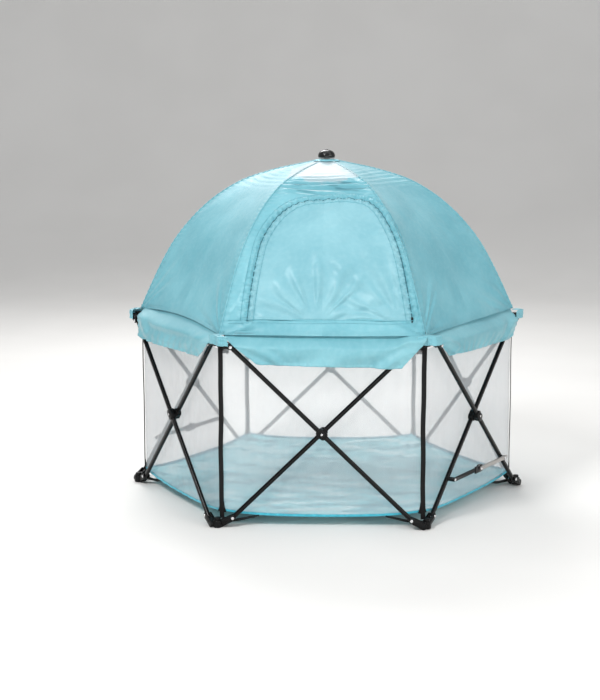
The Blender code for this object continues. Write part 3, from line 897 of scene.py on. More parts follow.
def dome_sector(i):
    """The cloth on both sides of rib i, out to the middle of each gore."""
    even = np.linspace(-1, 1, 2 * steps(96) + 1)
    # finer towards the seam
    across, rise = lattice(np.sign(even) * np.abs(even) ** 1.45 * 0.5, shares(steps(170)))
    points, arcs = rib_surface(i, across, rise)
    step = 4e-4
    side = np.where(across >= 0, 1, -1)
    sideways = (rib_surface(i, across + side * step, rise)[0] - points) * side[..., None]
    upward = (rib_surface(i, across, np.clip(rise + step, 0, 1))[0]
              - rib_surface(i, across, np.clip(rise - step, 0, 1))[0])
    normals = unit(np.cross(sideways, upward))
    uv = np.stack([across * rho_of(arcs), arcs], -1)

    rim, rim_normal, rim_uv = points[:, :1], normals[:, :1], uv[:, :1]
    for height, out in RIM_HEM:
        row = rim.copy()
        row[..., 2] += height
        row[..., :2] += rim_normal[..., :2] * out
        facing = unit(rim_normal * 0.2 + (0, 0, -1.0)) if height < 0 else -rim_normal
        points = np.concatenate([row, points], 1)
        normals = np.concatenate([facing, normals], 1)
        uv = np.concatenate([rim_uv + (0, height), uv], 1)
    sector = grid_mesh(f"canopy_cloth_{i}", points, uv, AQUA, normals)
    if i in (0, 1):
        paint_front(sector, i, uv)
    return on_rib(sector, i)


def paint_front(sector, i, uv):
    """The door panel in the front gore, and the painted highlight under the crown."""
    side = 1 if i == 0 else -1
    x = uv[..., 0] - side * 0.5 * rho_of(uv[..., 1])
    depth, _ = door_distance(x, uv[..., 1])
    front = (uv[..., 0] * side >= -1e-9).ravel()
    door = front & ((depth > 0.0) & (uv[..., 1] > DOOR_HEM)).ravel()
    # faces under the crown that take the painted highlight
    high = (uv[..., 1] > 0.596).ravel()
    for material in (AQUA_DOOR, AQUA_CROWN_PAINTED_LIGHT, AQUA_SIDE_PAINTED_HIGHLIGHT):
        sector.data.materials.append(material)
    for face in sector.data.polygons:
        ring = list(face.vertices)
        if door[ring].all():
            face.material_index = 1
        elif high[ring].all():
            if front[ring].all():
                face.material_index = 2
            elif i == 0:
                face.material_index = 3


sectors = [dome_sector(i) for i in range(6)]
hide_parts("canopy")


def gore_flap(i):
    """Seam allowance under the next sector's cloth: it keeps the gore closed near the crown
    when the ribs steepen."""
    share, arc = lattice(shares(12), np.linspace(arc_at_rho(0.235), ARC_END - 0.002, 60))
    rho = rho_of(arc)
    overlap = 0.006
    width = np.minimum(0.0215 * smooth(0.235, 0.150, rho), 0.46 * rho)
    aside = -overlap + (overlap + width) * share
    sink = 0.0010 + 0.0016 * smooth(0.0, 0.3, share)
    points, normals = gore_point(i, 0.5 + aside / rho, arc)
    # x stays clear of the seam's stitches
    uv = np.stack([0.085 + aside * 0.2, arc], -1)
    # flaps under the crown in the front and left gores take the painted highlight too
    material = {0: AQUA_CROWN_PAINTED_LIGHT, 5: AQUA_SIDE_PAINTED_HIGHLIGHT}.get(i, AQUA)
    on_rib(grid_mesh(f"gore_flap_{i}", points - normals * sink[..., None], uv, material,
                     normals), i)


for i in range(6):
    gore_flap(i)


# ------------------------------------------------ bands round the door and its pull
def front_point(x, arc):
    """Front gore's surface and normal at x metres from its middle."""
    return gore_point(0, x / rho_of(arc) + 0.5, arc)


def line_normals(line):
    heading_along = unit(np.gradient(line, axis=0))
    return np.stack([-heading_along[:, 1], heading_along[:, 0]], 1)


def band(name, line, width, material, lift, crown):
    """A band on the front gore, its centre on a line of (x, arc)."""
    line = np.array(line)
    aside = line_normals(line)
    rows, uv = [], []
    for cut in np.linspace(-0.5, 0.5, 5):
        path = line + aside * cut * width
        points, normals = front_point(path[:, 0], path[:, 1])
        tuck = 0.0012 if abs(cut) == 0.5 else 0
        rows.append(points + normals * (lift + crown * (1 - (2 * cut) ** 2) - tuck))
        uv.append(np.stack([np.full(len(line), cut * width), run_along(line)], 1))
    return grid_mesh(name, np.stack(rows, 1), np.stack(uv, 1), material)


def split_band(label, line, *look):
    """A band cut at the gore's middle, each half carried by its own rib."""
    cut = []
    for start, end in zip(line[:-1], line[1:]):
        cut.append(tuple(start))
        if start[0] * end[0] < 0:
            share = start[0] / (start[0] - end[0])
            cut.append((0.0, start[1] + share * (end[1] - start[1])))
    cut.append(tuple(line[-1]))
    on_rib(band(f"{label}_left", [point for point in cut if point[0] <= 1e-9], *look), 0)
    on_rib(band(f"{label}_right", [point for point in cut if point[0] >= -1e-9], *look), 1)


# zip coil between two piped edges: offset from the door's outline (positive outside it),
# width, material, lift, crown
for label, offset, *look in (
        ("door_zip", 0.001, 0.0040, ZIP, 0.0008, 0.0008),
        ("door_piping_outer", 0.0235, 0.0028, PIPING, 0.0005, 0.0009),
        ("door_piping_inner", -0.0200, 0.0024, PIPING, 0.0005, 0.0008)):
    split_band(label, DOOR_LINE + line_normals(DOOR_LINE) * offset, *look)

# hem line under the door, and the hem's lower edge
for label, rise, width in (("door_hem", 0.0, 0.0022), ("door_hem_low", -0.011, 0.0012)):
    x = np.linspace(-0.315, 0.315, 64)
    arc = DOOR_HEM + rise + 0.0012 * np.sin(x * 23)
    split_band(label, np.column_stack([x, arc]), width, PIPING, 0.0007, 0.0007)


def zip_pull():
    """Slider and tab near the foot of the door's right side."""
    points, normals = front_point(*DOOR_LINE[-8:-7].T)
    centre = Vector((points + normals * 0.004)[0])
    bm = bmesh.new()
    for offset, size in (((0, 0, 0), (0.007, 0.003, 0.012)),
                         ((0, -0.002, -0.020), (0.005, 0.002, 0.026))):
        bmesh.ops.create_cube(bm, size=1.0, matrix=Matrix.Translation(centre + Vector(offset))
                              @ Matrix.Diagonal((*size, 1)))
    bmesh.ops.bevel(bm, geom=bm.edges[:] + bm.verts[:], offset=0.0008, segments=2,
                    affect="EDGES")
    on_rib(shade(from_bmesh("zip_pull", bm, PLASTIC)), 1)


zip_pull()

# -------------------------------------------------------------------- skirts
# per panel: left and right edge as (height over the upper pins, run along the panel) from the
# top down, and the lower edge as (run, height)
LEFT_CUT = [(0.050, 0.020), (0.037, 0.026), (0.022, 0.038), (-0.0559, 0.138)]
RIGHT_CUT = [(0.050, 0.705), (0.030, 0.704), (0.0119, 0.694), (-0.0689, 0.620)]
SKIRTS = (
    (LEFT_CUT, RIGHT_CUT,
     [(0.138, -0.0555), (0.157, -0.0584), (0.383, -0.0635), (0.5885, -0.0715),
      (0.62, -0.0689)]),
    ([(0.050, 0.012), (0.030, 0.018), (-0.0025, 0.0618), (-0.0431, 0.1066)],
     [(0.056, 0.700), (0.036, 0.688), (0.010, 0.676), (-0.0134, 0.6651), (-0.045, 0.640),
      (-0.0561, 0.612)],
     [(0.1066, -0.0431), (0.3176, -0.0507), (0.590, -0.0565), (0.612, -0.0555)]),
    (LEFT_CUT, RIGHT_CUT, [(0.138, -0.058), (0.36, -0.064), (0.62, -0.066)]),
    (LEFT_CUT, RIGHT_CUT, [(0.138, -0.058), (0.36, -0.060), (0.62, -0.066)]),
    (LEFT_CUT, RIGHT_CUT, [(0.138, -0.058), (0.36, -0.066), (0.62, -0.066)]),
    ([(0.052, 0.012), (0.040, 0.030), (0.020, 0.074), (0.0, 0.083), (-0.0457, 0.0833),
      (-0.0557, 0.100)],
     [(0.050, 0.706), (0.0163, 0.6937), (0.0035, 0.6692), (-0.0515, 0.596)],
     [(0.100, -0.0545), (0.120, -0.0565), (0.377, -0.0545), (0.596, -0.0515)]))


def skirt_edge(cut, down):
    """Height and run down a side edge; the height falls evenly."""
    heights, runs = np.array(cut)[::-1].T
    z = heights[-1] + (heights[0] - heights[-1]) * down
    return z, np.interp(z, heights, runs)


def dome_overhang(z):
    """How far the dome stands out from the panel's plane at z, less the skirt's gap."""
    return rho_of(arc_at_z(z)) * math.cos(math.pi / 6) - APOTHEM - 0.0085


def skirt_wrinkle(i, run, across, down):
    loose = smooth(0.12, 0.5, down)
    out = 0.006 * np.sin(math.pi * across) ** 0.8 * smooth(0.2, 0.7, down)
    out += 0.0080 * loose * fbm(run * 6, down * 1.3, seed=90 + i)
    out += 0.0020 * smooth(0.45, 1.0, down) * wave(
        run, pitch=0.046, shift=5 * noise(run * 7, down * 2, seed=95 + i))
    out += 0.0009 * bell(down, at=1, width=0.10) * wave(
        run, pitch=0.014, shift=3 * noise(run * 15, down, seed=96 + i))
    # slanting folds that hang from the upper corners
    for share, shift in ((across, 1), (1 - across, -1)):
        out += (0.0046 * loose * bell(share, at=0.12, width=0.09)
                * np.sin((down * 3.2 - share * 14) * 2.2 + shift))
    # long flat creases
    out += (0.0042 * loose * np.sin(down * 8 + 4 * noise(run * 3, down * 2, seed=98 + i))
            * smooth(0.1, 0.3, across) * smooth(0.9, 0.7, across))
    # hem
    out += 0.0010 * smooth(0.925, 0.94, down) - 0.0008 * bell(down, at=0.915, width=0.008)
    return out


def skirt(i):
    """Cloth that hangs outside panel i from the dome's fold."""
    left, right, low = SKIRTS[i]
    across, down = lattice(shares(steps(170)), shares(steps(44)))
    left_z, left_run = skirt_edge(left, down)
    right_z, right_run = skirt_edge(right, down)
    run = left_run + (right_run - left_run) * across
    fold = fold_z(i, run / SIDE)
    top = fold + 0.010
    bottom = np.interp(run, *np.array(low).T) + 0.0014 * noise(run * 26, 0, seed=80 + i)
    end = np.minimum(across, 1 - across)
    near = smooth(0.03, 0.0, end)
    z = ((top + (bottom - top) * down) * (1 - near)
         + np.where(across < 0.5, left_z, right_z) * near)

    # from the dome's surface out to the hem; over the hub's arm at the right the cloth comes
    # out sooner
    proud = 0.0 if i in (1, 5) else 1.0
    hem_out = (0.0212 + (0.0122 - 0.0212) * smooth(0.10, 0.80, across)
               + 0.0085 * proud * smooth(0.80, 0.91, across))
    soon = proud * smooth(0.84, 0.92, across)
    if i == 5:
        soon = soon + 0.55 * smooth(0.30, 0.02, across)
    fold_out = dome_overhang(fold)
    out = (np.minimum(dome_overhang(np.clip(z, 0.02, 0.5)), fold_out)
           + (hem_out - fold_out)
           * smooth(0.10 - 0.06 * soon, 0.48 - 0.26 * soon, down) ** 0.9)
    out += skirt_wrinkle(i, run, across, down)
    out += 0.0012 * bell(end, at=0, width=0.02) * wave(z, pitch=0.017)
    piece = grid_mesh(f"canopy_skirt_{i}", on_panel(i, run, out, Z_UP + z),
                      np.stack([run - 0.355, z], -1), SKIRT, flip=True)
    mount(thicken(piece, 0.0012), f"top_{i}", fold=panel_fold(i))


for i in range(6):
    skirt(i)


# ------------------------------------- cloth pockets that sit over the upper hubs
POCKET_TOP, POCKET_LOW = 0.0352, 0.0058     # over the upper pins
POCKET_TURN = 0.35                          # share of the cloth that turns in at the top


def pocket(i):
    count = steps(130)
    (ahead, ahead_out), (back, back_out) = np.array(arms(i))
    centre = np.array(corner(i))
    keys = centre + np.array([
        back * 0.036 + back_out * 0.0058, back * 0.022 + back_out * 0.0060,
        back * 0.012 + back_out * 0.0040, RADIALS[i] * 0.0040,
        ahead * 0.0070 + ahead_out * 0.0160, ahead * 0.0105 + ahead_out * 0.0248,
        ahead * 0.020 + ahead_out * 0.0262, ahead * 0.044 + ahead_out * 0.0266])
    runs = run_along(keys)
    at = np.linspace(0, runs[-1], count)
    path = np.stack([np.interp(at, runs, keys[:, k]) for k in range(3)], -1)
    for _ in range(int(count / 7)):
        path[1:-1] = 0.25 * path[:-2] + 0.5 * path[1:-1] + 0.25 * path[2:]
    out = unit((path - centre) * (1, 1, 0))

    share, down = lattice(shares(count), shares(steps(30)))
    low = POCKET_LOW + 0.0010 * np.sin(math.pi * share * 2)
    hang = np.clip((down - POCKET_TURN) / (1 - POCKET_TURN), 0, 1)
    turned = 1 - np.clip(down / POCKET_TURN, 0, 1)
    z = POCKET_TOP + (low - POCKET_TOP) * hang + 0.0035 * turned
    z += (0.0009 * noise(share * 9, down * 2.5, seed=130 + i)
          + 0.0005 * np.sin(share * 30 + i) * down)
    crumple = (0.0022 * fbm(share * 11, down * 3.2, seed=120 + i)
               + 0.0014 * wave(share, pitch=1 / 12,
                               shift=3 * noise(share * 6, down * 3, seed=125 + i))
               + 0.0012 * np.sin(down * 17 + 6 * noise(share * 5, down, seed=127 + i)))
    stand = np.maximum(crumple, -0.0018) - 0.030 * turned ** 1.2
    points = path[:, None, :] + out[:, None, :] * stand[..., None]
    points[..., 2] = Z_UP + z
    piece = grid_mesh(f"hub_pocket_{i}", points, np.stack([share * 0.1, z], -1), LOOP)
    mount(thicken(piece, 0.0010), f"top_{i}")


for i in range(6):
    pocket(i)

# --------------------------------------------------------------------- walls
WALL_OUT = -0.028           # the netting hangs inside the panel's plane
WALL_HALF = (APOTHEM + WALL_OUT) * math.tan(math.pi / 6) - 0.0006
FLOOR_Z = 0.0335            # the floor's bound edge, away from the corners
TAPE_WIDTH = 0.0185


def corner_rise(run):
    """How far the floor's bound edge is drawn up at run along a panel."""
    return 0.024 * (np.exp(-np.clip(run, 0, None) / 0.10)
                    + np.exp(-np.clip(SIDE - run, 0, None) / 0.10))


def wall(i):
    across, rise = lattice(shares(steps(120)), shares(steps(80)))
    run = SIDE / 2 + (2 * across - 1) * WALL_HALF
    foot = FLOOR_Z + corner_rise(run) + 0.001
    z = foot + (Z_UP - 0.014 - foot) * rise
    ripple = (0.0030 * fbm(run * 6, rise * 1.2, seed=140 + i)
              + 0.0012 * wave(run, pitch=0.06, shift=3 * noise(run * 5, rise, seed=145 + i)))
    out = WALL_OUT + np.sin(math.pi * across) ** 0.5 * ripple
    out -= 0.004 * np.sin(math.pi * across) * np.sin(math.pi * rise)
    points = on_panel(i, run, out, z)
    # the side panels take the netting copies darkened as painted shade
    net = grid_mesh(f"netting_{i}", points, np.stack([run, z], -1),
                    {5: NET_LEFT_PAINTED_SHADE, 1: NET_RIGHT_PAINTED_SHADE}.get(i, NET), flip=True)
    mount(net, f"top_{i}", f"wall_{i}", panel_fold(i))
    # bound lower edge
    path = points[::2, 0] + np.array(outward(i)) * 0.0045 + (0, 0, 0.0015)
    hem = ribbon(f"wall_hem_{i}", path, [UP] * len(path), width=0.0075, material=BINDING,
                 thick=0.0012, crown=0.0005)
    mount(hem, f"top_{i}", fold=panel_fold(i))


def corner_tape(i):
    down = shares(60)
    wobble = 0.0012 * np.sin(7 * down + i) + 0.0008 * np.sin(19 * down + 2 * i)
    rho = SIDE - 0.0278 + 0.0006 * np.sin(11 * down + i)
    path = on_corner(i, rho, wobble, np.linspace(Z_UP + 0.004, 0.026, 60))
    tape = ribbon(f"corner_tape_{i}", path, [tangent(i)] * 60, width=TAPE_WIDTH,
                  material=TAPE, thick=0.0014, crown=0.0009)
    mount(tape, f"top_{i}")
    # flared tab where the tape meets the floor's corner
    down, across = lattice(shares(12), shares(9) - 0.5)
    aside = across * (TAPE_WIDTH + 0.016 * down ** 2)
    rho = SIDE - 0.0292 - 0.0024 * np.abs(across) * down
    z = 0.084 - 0.040 * down + 0.010 * down * np.abs(across)
    tab = grid_mesh(f"corner_tab_{i}", on_corner(i, rho, aside, z),
                    np.stack([aside, down * 0.04], -1), TAPE)
    mount(thicken(tab, 0.0010), f"top_{i}")


for i in range(6):
    wall(i)
    corner_tape(i)

# --------------------------------------------------------------------- floor
FLOOR_RHO = (APOTHEM - 0.032) / math.cos(math.pi / 6)


def floor_surface(i, across, reach):
    """Floor point at across (-0.5..0.5) corner i's wedge and share reach of the way out."""
    points = np.zeros(across.shape + (3,))
    for step, half in ((1, across >= 0), (-1, across < 0)):
        share = np.abs(across[half])[..., None]
        spread = RADIALS[i] * (1 - share) + RADIALS[(i + step) % 6] * share
        points[half] = spread * (FLOOR_RHO * reach[half])[..., None]
    x, y = points[..., 0], points[..., 1]
    z = 0.0325 + corner_rise(np.abs(across) * SIDE) * smooth(0.80, 1.0, reach) ** 1.5
    slack = (0.0110 * fbm(x * 3.1 + 0.8 * y, y * 8.5, seed=150)
             + 0.0045 * fbm(x * 9, y * 19, seed=155))
    # long soft creases that run in from the corners
    for k, (tip_x, tip_y, _) in enumerate(RADIALS * FLOOR_RHO):
        angle = np.arctan2(y - tip_y, x - tip_x)
        away = np.hypot(x - tip_x, y - tip_y)
        shift = 2.5 * noise(angle * 4 + k, away * 4, seed=160 + k)
        slack += 0.0050 * bell(away, at=0.22, width=0.17) * np.sin(angle * 13 + shift)
    # fold lines across the middle
    slack += 0.0022 * bell(y, at=0, width=0.010)
    slack -= 0.0015 * bell(x * 0.5 - y * 0.866, at=0, width=0.008)
    points[..., 2] = z + smooth(1.0, 0.93, reach) * slack
    return points


def floor_sector(i):
    across, reach = lattice(np.linspace(-0.5, 0.5, 2 * steps(56) + 1),
                            shares(steps(100)))
    reach = np.maximum(reach, 0.002)
    points = floor_surface(i, across, reach)
    # normals from the continuous surface, so that the wedges meet without a line
    step = 1e-3
    side = np.where(across >= 0, 1, -1)
    sideways = (floor_surface(i, across + side * step, reach) - points) * side[..., None]
    further = (floor_surface(i, across, np.clip(reach + step, 0, 1))
               - floor_surface(i, across, np.clip(reach - step, 1e-3, 1)))
    normals = unit(np.cross(further, sideways))
    normals[normals[..., 2] < 0] *= -1
    normals[:, 0] = (0, 0, 1)
    cloth = grid_mesh(f"floor_cloth_{i}", points, points[..., :2], FLOOR, normals, flip=True)
    mount(cloth, f"strap_{i}", fold=floor_fold(i))
    binding = cord(f"floor_binding_{i}", points[::2, -1] - (0, 0, 0.001), 0.0034, BINDING)
    binding.data.uv_layers.new(name="cloth")
    mount(binding, f"strap_{i}", fold=floor_fold(i))
    return cloth


floors = [floor_sector(i) for i in range(6)]
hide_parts("floor")

# -------------------------------------------------------------------- straps
# which of the corner's two panels each strap follows: 0 is panel i, 1 is panel i - 1
STRAP_ARM = (0, 1, 1, 0, 1, 0)
# (run from the corner, out from the panel, height); the strap starts on the corner's radius
STRAP_KEYS = ((0.034, -0.0365, 0.0140), (0.075, -0.0400, 0.0175), (0.112, -0.0380, 0.0260),
              (0.140, -0.0340, 0.0330))


def strap(i):
    ahead, out = arms(i)[STRAP_ARM[i]]
    keys = [corner(i) - radial(i) * 0.0318 + UP * STRAP_Z]
    keys += [corner(i) + ahead * run + out * off + UP * z for run, off, z in STRAP_KEYS]
    path = spline(keys, 9)
    # it turns from near upright to leaning out
    sides = [out * (0.45 + 0.35 * share) + UP * (0.90 - 0.45 * share)
             for share in shares(len(path))]
    web = ribbon(f"strap_web_{i}", path, sides, width=0.0155, material=WEB, thick=0.0015,
                 crown=0.0004)
    mount(web, f"strap_{i}", f"strap_{i}")


for i in range(6):
    strap(i)

# --------------------------------------------------------------------- tubes
TUBE_R = 0.00795
GROOVE = 0.0010
TUBE_HALF = TUBE_L / 2 + 0.0096
# end plug, from the rim in: share of the tube's radius, distance beyond the tube's end
PLUG = ((0.80, 0.0), (0.76, -0.0012), (0.72, -0.0012), (0.60, 0.0002), (0.25, 0.0007))


def tube(kind, i, side, turn):
    """A coated steel tube with a shallow groove on its outer and inner sides and a plug in
    each end."""
    out = outward(i)
    axis = along(i) * math.cos(turn) + UP * math.sin(turn)
    lift = out.cross(axis).normalized()
    centre = cross_point(i) + out * (TUBE_OFF * side)
    section = []
    for x, y in circle(1.0, 36):
        radius = TUBE_R - GROOVE * (bell(x, at=1, width=0.045) + bell(x, at=-1, width=0.045))
        section.append(out * (x * radius) + lift * (y * radius))
    stations = [(-TUBE_HALF, 0.94), (-TUBE_HALF + 0.0006, 1.0)]
    stations += [(x, 1.0) for x in np.linspace(-TUBE_HALF + 0.004, TUBE_HALF - 0.004, 24)]
    stations += [(TUBE_HALF - 0.0006, 1.0), (TUBE_HALF, 0.94)]
    bm = bmesh.new()

    def ring(x, scale):
        return [bm.verts.new(centre + axis * x + point * scale) for point in section]

    rings = [ring(x, scale) for x, scale in stations]
    for last, new in zip(rings, rings[1:]):
        bridge(bm, last, new)
    for last, end in ((rings[0], -1), (rings[-1], 1)):
        for scale, beyond in PLUG:
            new = ring(end * (TUBE_HALF + beyond), scale)
            for face in bridge(bm, last, new):
                face.material_index = 1 if scale <= 0.76 else 0
            last = new
        bm.faces.new(last).material_index = 1
    bmesh.ops.recalc_face_normals(bm, faces=bm.faces)
    piece = shade(from_bmesh(f"frame_tube_{kind}{i}", bm, TUBE, PLASTIC), sharp=40)
    mount(piece, f"tube_{kind}_{i}", f"tube_{kind}{i}")


for i in range(6):
    tube("a", i, side=-1, turn=TILT)
    tube("b", i, side=1, turn=-TILT)


# ------------------------------------------------------- mouldings and metal
def refined(node_name, body, material, name, width):
    """A moulding with softened edges in place of the plain solid."""
    source = NODES[node_name]
    mesh = source.data.copy()
    mesh.transform(source.matrix_world)
    bm = bmesh.new()
    bm.from_mesh(mesh)
    bmesh.ops.remove_doubles(bm, verts=bm.verts, dist=2e-5)
    bmesh.ops.dissolve_limit(bm, angle_limit=math.radians(1.0), verts=bm.verts,
                             edges=bm.edges)
    bm.to_mesh(mesh)
    bm.free()
    mesh.materials.clear()
    piece = rounded(new_object(name, mesh, material), width, angle=28)
    mount(shade(piece, sharp=38), body, node_name)


def rivet_heads(name, spots, body, radius=0.0056, height=0.0022):
    """Domed rivet heads: (point on the face, outward direction)."""
    # share of the radius, height over the face
    profile = ((1.0, -0.0006), (1.0, 0.0004), (0.93, height * 0.55), (0.74, height * 0.85),
               (0.45, height), (0.40, height * 0.86), (0.15, height * 0.82))
    heads = []
    for centre, out in spots:
        out = out.normalized()
        side = out.orthogonal().normalized()
        other = out.cross(side)
        rings = [[centre + out * rise + side * x + other * y
                  for x, y in circle(radius * share, 20)] for share, rise in profile]
        heads.append(shade(loft("head", rings, RIVET), sharp=50))
    mount(merge(name, heads), body)


def prism(outline, low, high, axes, soft=None, segments=2):
    """A closed plate from an outline and two depths; axes = origin, x, y, depth directions."""
    origin, x_way, y_way, deep = axes
    rings = [[origin + x_way * x + y_way * y + deep * depth for x, y in outline]
             for depth in (low, high)]
    plate = loft("prism", rings, PLASTIC)
    return rounded(plate, soft, segments) if soft else plate


def capsule(start, start_radius, end, end_radius):
    """Outline round two circles."""
    start, end = Vector(start), Vector(end)
    way = end - start
    turn = math.atan2(way.y, way.x)
    lean = math.acos(max(-1, min(1, (start_radius - end_radius) / way.length)))
    return [(centre.x + radius * math.cos(turn + angle),
             centre.y + radius * math.sin(turn + angle))
            for centre, radius, angles in (
                (end, end_radius, np.linspace(-lean, lean, 9)),
                (start, start_radius, np.linspace(lean, 2 * math.pi - lean, 13)))
            for angle in angles]


def cross_moulding(i):
    """Clamp where two tubes cross: a lobed plate on each tube with a disc on each face."""
    centre = cross_point(i)
    ahead, out = along(i), outward(i)
    lobes = []
    for k in range(40):
        angle = 2 * math.pi * k / 40
        radius = 0.0182 + 0.0034 * math.cos(2 * angle) - 0.0010 * math.cos(4 * angle)
        lobes.append((radius * math.cos(angle), radius * math.sin(angle)))
    parts = []
    for turn, low, high in ((-TILT, 0.0004, 0.0200), (TILT, -0.0195, -0.0008)):
        axis = ahead * math.cos(turn) + UP * math.sin(turn)
        parts.append(prism(lobes, low, high, (centre, axis, -axis.cross(out), out),
                           soft=0.0022, segments=3))
    for low, high, soft in ((0.0190, 0.0214, 0.0008), (-0.0206, -0.0190, 0.0006)):
        parts.append(prism(circle(0.0098), low, high, (centre, ahead, UP, out), soft))
    mount(shade(merge(f"cross_moulding_{i}", parts), sharp=38), f"tube_b_{i}",
          f"cross_hub_{i}")


def hub_arms(i, centre, side, root, root_radius, pin_radius):
    """Forked arms from the root (run, rise) out to the tube pins."""
    cheek = capsule(root, root_radius, (PIN_E, 0), pin_radius)
    filling = capsule(root, root_radius - 0.0008, (0.033, root[1] * 0.55),
                      pin_radius - 0.0010)
    ridge = capsule((0.023, root[1] * 0.72), 0.0030, (0.040, root[1] * 0.24), 0.0024)
    return [prism(outline, low, high, (centre + out * (TUBE_OFF * sign), ahead, UP, out), soft)
            for (ahead, out), sign in zip(arms(i), (side, -side))
            for outline, low, high, soft in (
                (cheek, -ARM_HALF, -0.0086, 0.0009), (cheek, 0.0086, ARM_HALF, 0.0009),
                (filling, -0.0090, 0.0090, 0.0006),
                (ridge, 0.0116, 0.0130, 0.0005), (ridge, -0.0130, -0.0116, 0.0005))]


def top_knuckle(i, centre):
    """Rounded core, and the fork that holds the rib with a pin through it."""
    inward = -radial(i)
    core = (centre + inward * 0.0175, -inward, tangent(i), UP)
    parts = [prism(circle(0.0165), 0.0010, 0.0265, core, soft=0.0030, segments=3)]
    axes = (centre, inward, UP, -tangent(i))
    pin = (SIDE - RIB_RHO, RIB_Z - Z_UP)
    cheek = capsule((0.024, 0.004), 0.0085, pin, 0.0080)
    for low, high in ((-0.0084, -0.0048), (0.0048, 0.0084)):
        parts.append(prism(cheek, low, high, axes, soft=0.0008))
    filling = capsule((0.022, 0.005), 0.0078, (0.038, -0.0095), 0.0070)
    parts.append(prism(filling, -0.0050, 0.0050, axes, soft=0.0006))
    at_pin = (centre + inward * pin[0] + UP * pin[1], *axes[1:])
    parts.append(prism(circle(0.0026, 12), -0.0098, 0.0098, at_pin))
    return parts


def foot_knuckle(i, centre):
    """Round foot down to the ground, its cap, and a block that points inward."""
    axes = (centre - radial(i) * 0.002, radial(i), tangent(i), UP)
    block = [(0.006, -0.0080), (0.033, -0.0080), (0.033, 0.0080), (0.006, 0.0080)]
    return [prism(circle(0.0150), -Z_LOW, -0.0060, axes, soft=0.0040, segments=3),
            prism(circle(0.0105), -0.0070, 0.0035, axes, soft=0.0025, segments=3),
            prism(block, -0.0235, -0.0120, (centre, -radial(i), tangent(i), UP),
                  soft=0.0016)]


def corner_moulding(i, level):
    """Corner hub: two arms that slope with the tubes out of one rounded knuckle."""
    if level == "top":
        centre = corner(i) + UP * Z_UP
        parts = hub_arms(i, centre, side=1, root=(0.0215, 0.0150), root_radius=0.0090,
                         pin_radius=0.0092) + top_knuckle(i, centre)
    else:
        centre = corner(i) + UP * Z_LOW
        parts = hub_arms(i, centre, side=-1, root=(0.012, -0.0200), root_radius=0.0115,
                         pin_radius=0.0098) + foot_knuckle(i, centre)
    mount(shade(merge(f"{level}_moulding_{i}", parts), sharp=38), f"{level}_{i}",
          f"{level}_hub_{i}")


def hub_rivets(i, level, z, side):
    """A rivet head on each cheek of both arms, at the tube pins."""
    spots = []
    for (ahead, out), sign in zip(arms(i), (side, -side)):
        for face in (-1, 1):
            off = TUBE_OFF * sign + face * (ARM_HALF + 0.0017)
            spots.append((corner(i) + ahead * PIN_E + out * off + UP * z, out * face))
    rivet_heads(f"{level}_rivets_{i}", spots, f"{level}_{i}")


for i in range(6):
    corner_moulding(i, "foot")
    corner_moulding(i, "top")
    cross_moulding(i)
    hub_rivets(i, "foot", Z_LOW, side=-1)
    hub_rivets(i, "top", Z_UP, side=1)
    out = outward(i)
    rivet_heads(f"cross_rivet_{i}", [(cross_point(i) + out * 0.0213, out),
                                     (cross_point(i) - out * 0.0205, -out)],
                f"tube_b_{i}", radius=0.0040, height=0.0014)
    NODES[f"rib_{i}"].data.materials.clear()
    NODES[f"rib_{i}"].data.materials.append(RIB)

refined("crown_hub", "crown", PLASTIC, "crown_moulding", 0.0008)

LOCK_REACH = 0.270          # lock bar pins from the crossing, along the tubes

for i in (1, 4):
    refined(f"lock_bar_inner_{i}", f"lock_inner_{i}", PLASTIC, f"lock_housing_{i}", 0.0008)
    refined(f"lock_bar_outer_{i}", f"lock_outer_{i}", BAR, f"lock_bar_{i}", 0.0008)
    refined(f"lock_button_{i}", f"lock_button_{i}", KNOB, f"lock_release_{i}", 0.0009)
    out = outward(i)
    reach = along(i) * (LOCK_REACH * math.cos(TILT))
    base = cross_point(i) - UP * (LOCK_REACH * math.sin(TILT))
    rivet_heads(f"lock_rivets_outer_{i}",
                [(base + out * 0.0294, out), (base + reach + out * 0.0294, out)],
                f"lock_outer_{i}")
    rivet_heads(f"lock_rivets_inner_{i}", [(base - reach + out * 0.0234, out)],
                f"lock_inner_{i}")

# ---------------------------------------------------------------- crown knob
# from the top's middle to the underside's: radius, height over the upper pins
KNOB_PROFILE = (
    (0.0002, 0.6236), (0.0040, 0.6238), (0.0058, 0.6232), (0.0066, 0.6218), (0.0072, 0.6205),
    (0.0085, 0.6212), (0.0110, 0.6213), (0.0160, 0.6200), (0.0215, 0.6172), (0.0255, 0.6138),
    (0.0280, 0.6105), (0.0288, 0.6092), (0.0286, 0.6080), (0.0296, 0.6070), (0.0306, 0.6045),
    (0.0310, 0.6015), (0.0309, 0.5980), (0.0303, 0.5952), (0.0290, 0.5938), (0.0262, 0.5934),
    (0.0002, 0.5934))
GRIP_ROWS = range(13, 18)   # rows of the profile that carry twelve shallow grooves


def crown_knob():
    rings = []
    for k, (radius, z) in enumerate(KNOB_PROFILE):
        groove = 0.0007 if k in GRIP_ROWS else 0.0
        ring = []
        for j in range(72):
            angle = 2 * math.pi * j / 72
            cut = radius - groove * max(0.0, math.cos(12 * angle)) ** 3
            ring.append((cut * math.cos(angle), cut * math.sin(angle), Z_UP + z))
        rings.append(ring)
    mount(shade(loft("knob", rings, KNOB), sharp=60), "crown", "crown_knob")


